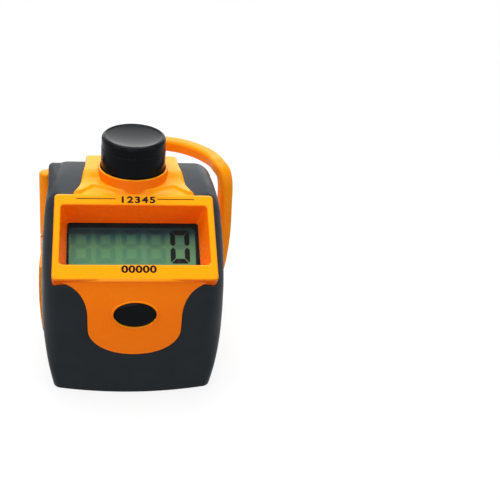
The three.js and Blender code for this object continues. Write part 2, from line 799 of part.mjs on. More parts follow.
function doorOutline() {
  return roundedRectangle(-doorHalfWidth, doorHalfWidth, doorBottom, doorTop, doorCornerRadius);
}

const cheekRearY = rearY - cheekRearInset;

function hingeWeb() {
  const corner = new THREE.Vector2(-flankX(rearY, cheekTop) + rearEdgeRadius, rearY);
  const reach = knuckleRadius * 0.9;
  const outline = [
    new THREE.Vector2(hingeX - reach * 0.3, cheekRearY - reach),
    new THREE.Vector2(corner.x, cheekRearY - reach),
    new THREE.Vector2(corner.x, corner.y - seatGap),
    new THREE.Vector2(hingeX + reach * 0.5, hingeY + reach * 0.8),
    new THREE.Vector2(hingeX - reach, hingeY - reach * 0.3),
  ];
  return prismZ(outline, housingKnuckleBottom, housingKnuckleTop);
}

// A pad on the left flank that carries the hinge web, fading out toward the base
function cheek() {
  const front = grown(partingOutline(), -partGap / 2);
  const side = prismX(front, -farAway, -flankHalfWidth / 2)
    .intersect(box(-farAway, 0, -farAway, cheekRearY, 0, cheekTop));
  const innerX = -flankHalfWidth * 0.7;
  const outerX = -flankHalfWidth - 2 * cheekProud;
  const taper = prismY([
    new THREE.Vector2(innerX, 0), new THREE.Vector2(-flankX(0, 0) + partGap, 0),
    new THREE.Vector2(outerX, housingKnuckleBottom), new THREE.Vector2(outerX, cheekTop),
    new THREE.Vector2(innerX, cheekTop),
  ], -farAway, farAway);
  return caseForm(cheekProud).intersect(side).intersect(taper);
}

// What the rear wall carries inside: door ledge, cell cup, door boss and screw bosses
function rearFittings() {
  const bossEndY = rearY - cupWall;
  const ledge = box(
    -doorHalfWidth - ledgeMargin, doorHalfWidth + ledgeMargin, ledgeFrontY, bossEndY,
    shellWall / 2, doorTop + ledgeMargin);
  const cup = rodY(cupBore + cupWall, cupFloorY - cupWall, bossEndY, 0, cellZ, 20);
  const doorBoss = rodY(boardPostRadius + 0.6, ledgeFrontY - doorScrewLength, bossEndY, 0, doorScrewZ, 12);
  const bosses = caseScrews.map(([x, z]) => rodY(caseBossRadius, casePostEndY + partGap, bossEndY, x, z, 14));
  return joined([ledge, cup, doorBoss, ...bosses]);
}

function rearHousing() {
  const cavity = caseForm(-shellWall, shellWall);
  const half = emptyCase.intersect(prismX(grown(partingOutline(), -partGap / 2), -farAway, farAway));
  const outside = cheek().add(hingeWeb()).subtract(cavity)
    .add(rodZ(knuckleRadius, housingKnuckleBottom, housingKnuckleTop, hingeX, hingeY, 20));
  const doorway = prismY(grown(doorOutline(), partGap), doorInnerY, rearY + 1);
  const sinks = caseScrews.map(([x, z]) => rodY(screwHeadRadius + partGap, headSeatY, rearY + 1, x, z, 14));
  const holes = caseScrews.map(([x, z]) => rodY(screwBore, casePostEndY - 1, rearY, x, z, 10));
  const stripSlot = box(
    -contactHalfWidth - partGap, contactHalfWidth + partGap, cupFloorY - cupWall - 1, cupFloorY + 0.5,
    stripZ - partGap, stripZ + contactThickness + partGap);
  return joined([half, outside, rearFittings()])
    .subtract(doorway)
    .subtract(rodY(cupBore, cupFloorY, rearY, 0, cellZ, 20))
    .subtract(rodY(contactTailRadius + partGap, cupFloorY - cupWall - 1, cupFloorY + 1, 0, cellZ, 10))
    .subtract(stripSlot)
    .subtract(rodY(screwBore, ledgeFrontY - doorScrewLength + cupWall, rearY, 0, doorScrewZ, 10))
    .subtract(joined(sinks))
    .subtract(joined(holes))
    .subtract(rodZ(pinRadius + partGap, housingKnuckleBottom - 1, housingKnuckleTop + 1, hingeX, hingeY, 14));
}

// Count button with its stem, spring, clip, dome and board
const stemBottom = guideHeight - partGap - clipThickness - partGap - stemTail;
const countBoardTop = stemBottom - partGap - countDomeHeight - seatGap;
const countBoardBottom = countBoardTop - boardThickness;

function countButton() {
  const skirtBottom = seatHeight + buttonTravel + partGap;
  const roof = buttonTopHeight - dishDepth - buttonWall;
  const grooveRadius = stemRadius - clipGrooveDepth;
  const grooveBottom = stemBottom + stemTail;
  const profile = [
    [0, stemBottom], [stemRadius, stemBottom], [stemRadius, grooveBottom], [grooveRadius, grooveBottom],
    [grooveRadius, guideHeight], [stemRadius, guideHeight], [stemRadius, roof],
    [buttonRadius - buttonWall, roof], [buttonRadius - buttonWall, skirtBottom], [buttonRadius, skirtBottom],
  ];
  const edge = new THREE.EllipseCurve(
    buttonRadius - buttonEdge, buttonTopHeight - buttonEdge, buttonEdge, buttonEdge, 0, Math.PI / 2);
  edge.getPoints(3).forEach((p) => profile.push([p.x, p.y]));
  const rim = buttonRadius - buttonEdge - dishRim / 4;
  const dishSteps = 3;
  for (let k = 0; k <= dishSteps; k += 1) {
    const share = 1 - k / dishSteps;
    profile.push([rim * share, buttonTopHeight - seatGap - dishDepth * (1 - share ** 2)]);
  }
  return revolveZ(profile, 0, buttonY, 32);
}

function countSpring() {
  const low = seatHeight + partGap + springWire;
  const high = buttonTopHeight - dishDepth - buttonWall - partGap - springWire;
  const points = [];
  const perTurn = 9;
  for (let k = 0; k <= springTurns * perTurn; k += 1) {
    const angle = 2 * Math.PI * k / perTurn;
    const share = THREE.MathUtils.smoothstep(k / (springTurns * perTurn), -0.04, 1.04);
    points.push(new THREE.Vector3(
      springRadius * Math.cos(angle), buttonY + springRadius * Math.sin(angle),
      THREE.MathUtils.lerp(low, high, share)));
  }
  return tube(points, roundSection(springWire, 5), springTurns * perTurn);
}

function roundSection(radius, sides) {
  return Array.from({ length: sides }, (_, k) => {
    const angle = 2 * Math.PI * k / sides;
    return new THREE.Vector2(radius * Math.cos(angle), radius * Math.sin(angle));
  });
}

function tube(points, section, steps) {
  const geometry = new THREE.ExtrudeGeometry(new THREE.Shape(section), {
    steps, extrudePath: new THREE.CatmullRomCurve3(points), bevelEnabled: false,
  });
  return toSolid(geometry);
}

function stemClip() {
  const low = stemBottom + stemTail + partGap;
  const innerRadius = stemRadius - clipGrooveDepth + partGap;
  const ring = revolveZ([
    [innerRadius, low], [clipRadius, low], [clipRadius, low + clipThickness - 0.1],
    [innerRadius, low + clipThickness - 0.1], [innerRadius, low],
  ], 0, buttonY, 20);
  const mouth = innerRadius / 2;
  return ring.subtract(box(-mouth, mouth, buttonY, buttonY + 2 * clipRadius, low - 1, low + 2));
}

function countDome() {
  const low = countBoardTop + seatGap;
  const high = low + countDomeHeight;
  const neck = countDomeRadius * 0.56;
  return revolveZ([
    [0, low], [countDomeRadius, low], [countDomeRadius, low + countDomeHeight / 6],
    [neck, low + countDomeHeight * 0.57], [neck, high], [0, high],
  ], 0, buttonY, 20);
}

function countBoard() {
  const holes = [-countPostX, countPostX].map((x) =>
    rodZ(screwBore, countBoardBottom - 1, countBoardTop + 1, x, countPostY, 10));
  return box(
    -countBoardHalfWidth, countBoardHalfWidth, buttonY - countBoardFront, buttonY + countBoardRear,
    countBoardBottom, countBoardTop).subtract(joined(holes));
}

// Reset button, its dome and the main board

function resetButton() {
  const lipTop = -shellWall - partGap - flangeThickness - 1.5 * resetTravel / 2;
  const lipBottom = lipTop - resetLipThickness;
  const profile = [
    [0, -resetTipDepth], [resetPlungerRadius, -resetTipDepth], [resetPlungerRadius, lipBottom],
    [resetHalfWidth + resetLip, lipBottom], [resetHalfWidth + resetLip, lipTop], [resetHalfWidth, lipTop],
  ];
  const steps = 4;
  for (let k = 0; k <= steps; k += 1) {
    const angle = Math.PI / 2 * k / steps;
    profile.push([resetHalfWidth * Math.cos(angle) ** 0.8, resetRise * Math.sin(angle) + lobeProud / 5]);
  }
  profile[profile.length - 1][0] = 0;
  return ovalRevolve(profile);
}

function resetDome() {
  const neck = resetDomeRadius * 0.53;
  const profile = [
    [0, 0], [resetDomeRadius, 0], [resetDomeRadius, resetDomeHeight / 6],
    [neck, resetDomeHeight * 0.58], [neck, resetDomeHeight], [0, resetDomeHeight],
  ];
  return toSolid(revolveGeometry(profile, 20), alongMinusY.clone().setPosition(0, resetDomeY, resetDomeZ));
}

function mainBoard() {
  const holes = [-mainPostX, mainPostX].map((x) =>
    rodY(screwBore, mainBoardFrontY - 1, mainBoardRearY + 1, x, mainPostZ, 10));
  return box(
    -mainBoardHalfWidth, mainBoardHalfWidth, mainBoardFrontY, mainBoardRearY,
    mainBoardBottom, mainBoardTop).subtract(joined(holes));
}

function controllerBlob() {
  const profile = [[0, 0]];
  const steps = 5;
  for (let k = 0; k <= steps; k += 1) {
    const angle = Math.PI / 2 * k / steps;
    profile.push([blobRadius * Math.cos(angle), -blobHeight * Math.sin(angle)]);
  }
  profile[profile.length - 1][0] = 0;
  profile.reverse();
  return toSolid(
    revolveGeometry(profile, 20), alongMinusY.clone().setPosition(0, mainBoardRearY + seatGap, blobZ));
}

// Display stack, in the face's own directions
const stack = {
  x: faceHalfWidth - borderSide - recessDraft + stackMargin + partGap,
  s0: borderBottom + recessDraft - stackMargin,
  s1: faceLength - borderTop - recessDraft + stackMargin,
};
const windowTop = -recessDepth - partGap;
const panelTop = windowTop - windowThickness - partGap;
const panelBottom = panelTop - panelThickness;
const holderBottom = panelBottom - partGap - holderWall;

function stackPrism(grow, from, to) {
  return facePrism(roundedRectangle(
    -stack.x - grow, stack.x + grow, stack.s0 - grow, stack.s1 + grow, 0.4 + Math.max(grow, 0), 2), from, to);
}

function displayHolder() {
  const flexSlot = facePrism(roundedRectangle(
    -flexWidth / 2 - 1, flexWidth / 2 + 1, stack.s0 + 1, stack.s0 + 4, 0.5, 2), holderBottom - 1, panelBottom);
  const backWindow = facePrism(roundedRectangle(
    -stack.x * 0.7, stack.x * 0.7, stack.s0 + 6, stack.s1 - 3, 1, 2), holderBottom - 1, panelBottom);
  return stackPrism(partGap + holderWall, holderBottom, windowTop)
    .subtract(stackPrism(partGap, panelBottom - partGap, windowTop + 1))
    .subtract(flexSlot)
    .subtract(backWindow);
}

// Film from the panel's lower edge, out of the holder's slot and down the back of the main board
function displayFlex() {
  const start = facePoint(stack.s0 + 2.5, panelBottom - partGap);
  const out = facePoint(stack.s0 + 2.2, holderBottom - 1);
  const boardY = mainBoardRearY + partGap + flexThickness / 2;
  const curve = new THREE.CatmullRomCurve3([
    new THREE.Vector3(start.x, start.y, 0),
    new THREE.Vector3(out.x, out.y, 0),
    new THREE.Vector3(boardY + 1.4, mainBoardTop - 3, 0),
    new THREE.Vector3(boardY, mainBoardTop - 5.4, 0),
    new THREE.Vector3(boardY, mainBoardTop - 8, 0),
  ]);
  const steps = 14;
  const left = [];
  const right = [];
  for (let k = 0; k <= steps; k += 1) {
    const at = curve.getPoint(k / steps);
    const tangent = curve.getTangent(k / steps);
    const across = new THREE.Vector2(tangent.y, -tangent.x).multiplyScalar(flexThickness / 2);
    left.push(new THREE.Vector2(at.x, at.y).add(across));
    right.unshift(new THREE.Vector2(at.x, at.y).sub(across));
  }
  return prismX(left.concat(right), -flexWidth / 2, flexWidth / 2);
}

// Button cell, contacts and leads

function batteryCell() {
  const profile = [
    [0, cellFrontY], [cellRadius - cellGroove, cellFrontY], [cellRadius - cellGroove, cellFrontY + cellEdge],
    [cellRadius - cellEdge, cellFrontY + cellEdge], [cellRadius, cellFrontY + 2 * cellEdge],
    [cellRadius, cellRearY - cellEdge], [cellRadius - cellEdge, cellRearY], [0, cellRearY],
  ].map(([r, y]) => [r, -y]).reverse();
  return toSolid(revolveGeometry(profile, 24), alongMinusY.clone().setPosition(0, 0, cellZ));
}

const tailEndY = cupFloorY - cupWall - contactTail;

function contactNegative() {
  const plateY = cupFloorY + seatGap;
  const plate = rodY(contactPlateRadius, plateY, plateY + contactThickness, 0, cellZ, 20);
  const bump = rodY(contactPlateRadius * 0.36, plateY, cellFrontY - seatGap, 0, cellZ, 10);
  const tail = rodY(contactTailRadius, tailEndY, plateY + contactThickness / 2, 0, cellZ, 10);
  return joined([plate, bump, tail]);
}

function contactPositive() {
  return box(
    -contactHalfWidth, contactHalfWidth, tailEndY, cellRearY - 2 * partGap,
    stripZ, stripZ + contactThickness);
}

function batteryLead(fromZ, x) {
  const boardY = mainBoardRearY + partGap;
  return tube([
    new THREE.Vector3(0, tailEndY - partGap, fromZ),
    new THREE.Vector3(x * 0.2, tailEndY - 3, fromZ),
    new THREE.Vector3(x * 0.6, (tailEndY + boardY) / 2 - 1, fromZ - 3),
    new THREE.Vector3(x, boardY + 4, blobZ - 4),
    new THREE.Vector3(x, boardY, blobZ - 4),
  ], roundSection(leadRadius, 6), 12);
}

function countLead() {
  const x = -countPostX;
  const boardY = mainBoardRearY + partGap;
  const lowest = mainPostZ + 5;
  const fromY = buttonY - countBoardFront + 1.4;
  return tube([
    new THREE.Vector3(x, fromY, countBoardBottom - partGap),
    new THREE.Vector3(x, fromY, countBoardBottom - 4),
    new THREE.Vector3(x, fromY - 1.4, mainBoardTop + 2),
    new THREE.Vector3(x - 3, (fromY + boardY) / 2 - 1, lowest + 1),
    new THREE.Vector3(x - 4, boardY + 3, lowest),
    new THREE.Vector3(x - 4, boardY, lowest),
  ], roundSection(leadRadius, 6), 16);
}

function batteryDoor() {
  const headSeat = rearY - doorScrewHead - seatGap;
  return prismY(doorOutline(), doorInnerY + seatGap, rearY)
    .subtract(rodY(screwBore, doorInnerY - 1, rearY + 1, 0, doorScrewZ, 10))
    .subtract(rodY(screwHeadRadius + partGap, headSeat, rearY + 1, 0, doorScrewZ, 16));
}

// A screw along Y whose head's underside is at headY, its point toward -Y
function screwY(x, z, headY, headHeight, length) {
  const head = rodY(screwHeadRadius, headY, headY + headHeight, x, z, 12);
  const top = headY + headHeight;
  const slotFloor = top - headHeight / 2;
  const long = screwSlotLength / 2;
  const narrow = screwSlotWidth / 2;
  return head
    .subtract(box(x - long, x + long, slotFloor, top + 1, z - narrow, z + narrow))
    .subtract(box(x - narrow, x + narrow, slotFloor, top + 1, z - long, z + long))
    .add(rodY(screwShaftRadius, headY - length, headY + seatGap, x, z, 8));
}

function countBoardScrew(x) {
  const headTop = countBoardBottom - seatGap;
  const tip = countBoardTop + boardScrewLength - partGap;
  return rodZ(screwHeadRadius, headTop - boardScrewHeadHeight, headTop, x, countPostY, 12)
    .add(rodZ(screwShaftRadius, headTop - seatGap, tip, x, countPostY, 8));
}

// Finger loop: the same bend in plan at its top and bottom bars, joined by the upright bar at the right.
// The top bar rises a little from the hinge to its far side.

function loopPlan() {
  const far = rearY + loopReach;
  const sideX = loopSideX - loopSideBow;
  return [
    [hingeX, hingeY], [hingeX + 3.2, hingeY + 2.9], [-18.2, rearY + 3.8], [-13.4, rearY + 4.5],
    [-9.4, rearY + 7.1], [-5.4, far - 11.6], [-1, far - 6], [3.6, far - 1.7],
    [8.2, far], [14, far - 1.4], [19.4, far - 5], [23.6, far - 9.8], [sideX, far - 13.8],
  ];
}

function loopPath() {
  const highZ = shoulderHeight - loopTopDrop - loopBarHalf;
  const hingeZ = knuckleTop - loopBarHalf;
  const lowZ = loopBottom + loopBarHalf;
  const tall = highZ - lowZ;
  const plan = loopPlan();
  const rise = (x) => THREE.MathUtils.lerp(hingeZ, highZ, THREE.MathUtils.smoothstep(x, hingeX, loopSideX));
  const upright = [
    [loopSideX - 2.6, loopSideY + 4, highZ - 0.2],
    [loopSideX - 1.3, loopSideY + 1.5, highZ - 1.5],
    [loopSideX - 0.8, loopSideY + 0.4, highZ - 4.6],
    [loopSideX - 0.3, loopSideY, lowZ + tall * 0.7],
    [loopSideX, loopSideY, lowZ + tall * 0.48],
    [loopSideX - 0.4, loopSideY, lowZ + tall * 0.25],
    [loopSideX - 1.1, loopSideY + 0.3, lowZ + 4.2],
    [loopSideX - 2, loopSideY + 1.9, lowZ + 1.2],
    [loopSideX - 2.8, loopSideY + 4.4, lowZ + 0.1],
  ];
  const top = plan.map(([x, y]) => [x, y, rise(x)]);
  const bottom = plan.reverse().map(([x, y]) => [x, y, lowZ]);
  return [...top, ...upright, ...bottom].map(([x, y, z]) => new THREE.Vector3(x, y, z));
}

// Rings of a section along a path, carried without twisting from an upright start
function sweep(path, section) {
  const side = new THREE.Vector3(0, 0, 1);
  const rings = path.map((at, i) => {
    const ahead = path[Math.min(i + 1, path.length - 1)];
    const behind = path[Math.max(i - 1, 0)];
    const tangent = ahead.clone().sub(behind).normalize();
    side.addScaledVector(tangent, -side.dot(tangent)).normalize();
    const other = tangent.clone().cross(side);
    return section.map((p) => at.clone().addScaledVector(side, p.x).addScaledVector(other, p.y));
  });
  const count = section.length;
  const last = (rings.length - 1) * count;
  const index = [];
  for (let k = 0; k + 1 < rings.length; k += 1) {
    for (let i = 0; i < count; i += 1) {
      const a = k * count + i;
      const b = k * count + (i + 1) % count;
      index.push(a, b, a + count, b, b + count, a + count);
    }
  }
  for (let i = 1; i + 1 < count; i += 1) {
    index.push(0, i + 1, i, last, last + i, last + i + 1);
  }
  const geometry = new THREE.BufferGeometry().setFromPoints(rings.flat());
  geometry.setIndex(index);
  return toSolid(geometry);
}

function fingerLoop() {
  const section = roundedRectangle(-loopBarHalf, loopBarHalf, -loopBarHalf, loopBarHalf, loopBarCorner, 1);
  const bar = sweep(new THREE.CatmullRomCurve3(loopPath()).getPoints(62), section);
  const upperLow = housingKnuckleTop + partGap;
  const edge = knuckleRadius / 3;
  const upper = revolveZ([
    [0, upperLow], [knuckleRadius, upperLow], [knuckleRadius, knuckleTop - edge],
    [knuckleRadius - edge / 3, knuckleTop - edge / 3], [knuckleRadius - edge, knuckleTop], [0, knuckleTop],
  ], hingeX, hingeY, 18);
  const lower = rodZ(knuckleRadius, loopBottom, housingKnuckleBottom - partGap, hingeX, hingeY, 18);
  const bore = rodZ(pinRadius + partGap, loopBottom - 1, knuckleTop - 2, hingeX, hingeY, 14);
  return joined([bar, upper, lower]).subtract(bore);
}

function hingePin() {
  return rodZ(pinRadius, loopBottom + partGap, knuckleTop - 2 - partGap, hingeX, hingeY, 14);
}

// The assembly

const tallyCounter = new THREE.Group();

function addPart(name, solid, look) {
  const mesh = new THREE.Mesh(toGeometry(solid), new THREE.MeshStandardMaterial(look));
  mesh.name = name;
  tallyCounter.add(mesh);
}

addPart('front_shell', frontShell(), black);
addPart('centre_housing', centreHousing(), orange);
addPart('rear_housing', rearHousing(), orange);
addPart('count_button', countButton(), black);
addPart('count_spring', countSpring(), steel);
addPart('stem_clip', stemClip(), steel);
addPart('count_dome', countDome(), greyRubber);
addPart('count_board', countBoard(), boardGreen);
addPart('reset_button', resetButton(), black);
addPart('reset_dome', resetDome(), greyRubber);
addPart('main_board', mainBoard(), boardGreen);
addPart('controller_blob', controllerBlob(), black);
addPart('display_window', stackPrism(0, windowTop - windowThickness, windowTop), clear);
addPart('display_panel', stackPrism(0, panelBottom, panelTop), panelGrey);
addPart('display_holder', displayHolder(), white);
addPart('display_flex', displayFlex(), filmBrown);
addPart('battery_cell', batteryCell(), steel);
addPart('battery_contact_negative', contactNegative(), gold);
addPart('battery_contact_positive', contactPositive(), gold);
addPart('battery_lead_negative', batteryLead(cellZ, -leadSpread), black);
addPart('battery_lead_positive', batteryLead(stripZ + contactThickness / 2, leadSpread), orange);
addPart('count_lead', countLead(), white);
addPart('battery_door', batteryDoor(), orange);
const doorScrew = screwY(0, doorScrewZ, rearY - doorScrewHead, doorScrewHead, doorScrewLength);
addPart('battery_door_screw', doorScrew, steel);
caseScrews.forEach(([x, z], i) => {
  addPart(`case_screw_${i + 1}`, screwY(x, z, headSeatY + seatGap, screwHeadHeight, caseScrewLength), steel);
});
[-mainPostX, mainPostX].forEach((x, i) => {
  const screw = screwY(x, mainPostZ, mainBoardRearY + seatGap, boardScrewHeadHeight, boardScrewLength);
  addPart(`main_board_screw_${i + 1}`, screw, steel);
});
[-countPostX, countPostX].forEach((x, i) => {
  addPart(`count_board_screw_${i + 1}`, countBoardScrew(x), steel);
});
addPart('hinge_pin', hingePin(), steel);
addPart('finger_loop', fingerLoop(), orange);

export default tallyCounter;
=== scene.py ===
"""Looks of the hand-held digital tally counter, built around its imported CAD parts.

Sizes here are in millimetres and become metres as each mesh is made.
+X is the user's right, the display leans back from -Y, and +Z is up.
"""
import json
import math

import bmesh
import bpy
from mathutils import Matrix, Vector


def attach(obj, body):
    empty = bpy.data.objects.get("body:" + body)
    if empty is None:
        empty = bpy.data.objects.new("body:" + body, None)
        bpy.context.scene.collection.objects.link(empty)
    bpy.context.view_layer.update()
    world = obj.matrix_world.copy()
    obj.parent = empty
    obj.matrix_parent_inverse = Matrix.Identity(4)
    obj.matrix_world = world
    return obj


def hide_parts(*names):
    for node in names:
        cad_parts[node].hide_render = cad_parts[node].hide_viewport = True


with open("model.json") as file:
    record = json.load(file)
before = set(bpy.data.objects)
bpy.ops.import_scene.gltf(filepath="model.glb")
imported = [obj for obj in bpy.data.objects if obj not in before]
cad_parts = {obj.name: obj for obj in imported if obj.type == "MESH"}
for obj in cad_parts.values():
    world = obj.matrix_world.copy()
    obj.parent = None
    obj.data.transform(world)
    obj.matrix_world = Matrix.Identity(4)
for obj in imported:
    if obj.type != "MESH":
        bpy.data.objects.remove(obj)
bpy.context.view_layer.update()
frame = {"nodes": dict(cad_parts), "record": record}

MM = 0.001
FAR = 60.0

# Case, in step with the CAD source
FRONT = -21.5
REAR = 21.5
DEPTH = REAR - FRONT
SHOULDER = 52.0
TILT = math.radians(39)
FACE_Y = FRONT + 3.2
FACE_Z = 35.2
FACE_LENGTH = 25.3
FACE_HALF = 21.95
FACE_CORNER = 1.1
FACE_PROUD = 1.1
SHELL_WALL = 1.8
FRONT_EDGE = 4.2
FRONT_BASE_EDGE = 1.6
REAR_EDGE = 6.0
CROWN = 2.6
PARTING_Y = -3.0
PARTING_TOP = 46.0
SEAM = 0.14

BUTTON_Y = 11.8
BUTTON_RADIUS = 9.12
BUTTON_TOP = 64.3
CAP_ROOF = 62.0
SKIRT = 53.5
STEM_FOOT = 45.4
STROKE = 1.8
PRESS_GAP = 0.05
SPRING_WIRE, SPRING_RADIUS, SPRING_TURNS = 0.4, 4.3, 6
SPRING_SEAT = 51.74
DOME_SEAT = 42.1
BORE = 9.3
COLLAR_TOP = 55.0
COLLAR_FOOT = 51.5
DECK = 54.0

HINGE = (-24.75, 21.8)
KNUCKLE = 2.1
KNUCKLE_TOP = 47.9
CASE_KNUCKLE = (13.0, 26.5)
LOOP_KNUCKLE_GAP = 0.3
LOOP_BOTTOM = 8.5
BAR = 2.0

LOBE_BOTTOM = 13.2
LOBE_DEPTH = 12.0
RESET_Z = 25.2
RESET_HALF = 5.75
RESET_OVAL = 3.6 / RESET_HALF

# Heights out of the leaning face
FRAME_BACK = -6.4
FUNNEL_END = -8.6
CRYSTAL = -10.2


# Small maths

def lerp(a, b, t):
    return a + (b - a) * t


def smoothstep(value, low, high):
    t = min(max((value - low) / (high - low), 0.0), 1.0)
    return t * t * (3 - 2 * t)


def angles(start, end, steps):
    """Angles in radians from start to end degrees, both included."""
    return [math.radians(start + (end - start) * k / steps) for k in range(steps + 1)]


def circle(segments):
    return [2 * math.pi * k / segments for k in range(segments)]


def bezier(controls, steps):
    """Points on a Bezier curve after its first one."""
    out = []
    for k in range(1, steps + 1):
        level = [tuple(p) for p in controls]
        while len(level) > 1:
            level = [tuple(lerp(a, b, k / steps) for a, b in zip(p, q)) for p, q in zip(level, level[1:])]
        out.append(level[0])
    return out


def face_point(s, h):
    """(y, z) of a point s up the leaning face and h out of it."""
    cos, sin = math.cos(TILT), math.sin(TILT)
    return (FACE_Y + s * cos - h * sin, FACE_Z + s * sin + h * cos)


def on_face(x, s, h):
    return (x, *face_point(s, h))


def flare(x, s):
    """The frame's slight widening toward its foot."""
    return x * (1 + 0.03 * (1 - s / FACE_LENGTH))


def mirrored(half):
    """A half outline and its mirror image across x = 0."""
    return list(half) + [(-x, y) for x, y in reversed(half) if abs(x) > 1e-6]


def grown(outline, distance):
    """An outline moved outward, each point along its corner's bisector."""
    area = sum(a[0] * b[1] - b[0] * a[1] for a, b in zip(outline, outline[1:] + outline[:1]))
    sense = 1 if area > 0 else -1
    out = []
    for i, point in enumerate(outline):
        before, here, after = (Vector(outline[k % len(outline)]) for k in (i - 1, i, i + 1))
        a, b = (here - before).normalized(), (after - here).normalized()
        outward = Vector((a.y + b.y, -a.x - b.x)).normalized()
        stretch = max(0.5, outward.x * a.y - outward.y * a.x)
        out.append((point[0] + outward.x * sense * distance / stretch,
                    point[1] + outward.y * sense * distance / stretch))
    return out


def rounded_rectangle(x0, x1, y0, y1, radius, steps=6):
    corners = [(x1, y0, -1, 1, -90), (x1, y1, -1, -1, 0), (x0, y1, 1, -1, 90), (x0, y0, 1, 1, 180)]
    out = []
    for x, y, toward_x, toward_y, start in corners:
        for angle in angles(start, start + 90, steps):
            out.append((x + toward_x * radius + radius * math.cos(angle),
                        y + toward_y * radius + radius * math.sin(angle)))
    return out


# Meshes

class Build:
    """Points and faces that become one mesh."""

    def __init__(self):
        self.points = []
        self.faces = []

    def rings(self, rings, closed=True, cap_start=False, cap_end=False):
        base, count = len(self.points), len(rings[0])
        for ring in rings:
            self.points.extend(ring)
        for k in range(len(rings) - 1):
            for i in range(count if closed else count - 1):
                a, b = base + k * count + i, base + k * count + (i + 1) % count
                self.faces.append((a, b, b + count, a + count))
        last = base + (len(rings) - 1) * count
        if cap_start:
            self.faces.append(tuple(base + i for i in reversed(range(count))))
        if cap_end:
            self.faces.append(tuple(last + i for i in range(count)))
        return self

    def make(self, name):
        mesh = bpy.data.meshes.new(name)
        mesh.from_pydata([(x * MM, y * MM, z * MM) for x, y, z in self.points], [], self.faces)
        tidy = bmesh.new()
        tidy.from_mesh(mesh)
        bmesh.ops.remove_doubles(tidy, verts=tidy.verts, dist=0.002 * MM)
        bmesh.ops.recalc_face_normals(tidy, faces=tidy.faces)
        tidy.to_mesh(mesh)
        tidy.free()
        obj = bpy.data.objects.new(name, mesh)
        bpy.context.scene.collection.objects.link(obj)
        return obj


def capped(rings, name="cutter"):
    """A closed solid through the rings."""
    return Build().rings(rings, cap_start=True, cap_end=True).make(name)


def prism_x(outline, low, high, name="cutter"):
    return capped([[(x, y, z) for y, z in outline] for x in (low, high)], name)


def prism_y(outline, low, high, name="cutter"):
    return capped([[(x, y, z) for x, z in outline] for y in (low, high)], name)


def prism_z(outline, low, high, name="cutter"):
    return capped([[(x, y, z) for x, y in outline] for z in (low, high)], name)


def face_prism(outline, low, high, name="cutter"):
    return capped([[on_face(x, s, h) for x, s in outline] for h in (low, high)], name)


def lathe_rings(profile, x, y, segments, clamp_y=None):
    rings = []
    for r, z in profile:
        ring = []
        for angle in circle(segments):
            at_y = y + r * math.sin(angle)
            ring.append((x + r * math.cos(angle), at_y if clamp_y is None else min(at_y, clamp_y), z))
        rings.append(ring)
    return rings


def carve(obj, other, operation="DIFFERENCE"):
    """Cuts, joins or intersects obj with other, and removes other."""
    step = obj.modifiers.new("carve", "BOOLEAN")
    step.operation = operation
    step.solver = "EXACT"
    step.object = other
    graph = bpy.context.evaluated_depsgraph_get()
    mesh = bpy.data.meshes.new_from_object(obj.evaluated_get(graph))
    obj.modifiers.clear()
    old, obj.data = obj.data, mesh
    mesh.name = obj.name
    bpy.data.meshes.remove(old)
    spent = other.data
    bpy.data.objects.remove(other)
    bpy.data.meshes.remove(spent)
    return obj


def join(obj, others):
    """Moves the faces of others into obj."""
    merged = bmesh.new()
    for piece in [obj, *others]:
        merged.from_mesh(piece.data)
    merged.to_mesh(obj.data)
    merged.free()
    for piece in others:
        spent = piece.data
        bpy.data.objects.remove(piece)
        bpy.data.meshes.remove(spent)
    return obj


def dress(obj, material, body, slot, *nodes, angle=34):
    """Gives obj its shading and material, hangs it on its body and hides the CAD nodes that it stands for.
    The slot argument is not used.
    """
    obj.data.materials.clear()
    obj.data.materials.append(material)
    for polygon in obj.data.polygons:
        polygon.use_smooth = True
        polygon.material_index = 0
    obj.data.set_sharp_from_angle(angle=math.radians(angle))
    weighted = obj.modifiers.new("weighted_normals", "WEIGHTED_NORMAL")
    weighted.keep_sharp = True
    weighted.weight = 60
    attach(obj, body)
    if nodes:
        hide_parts(*nodes)
    return obj


# Materials

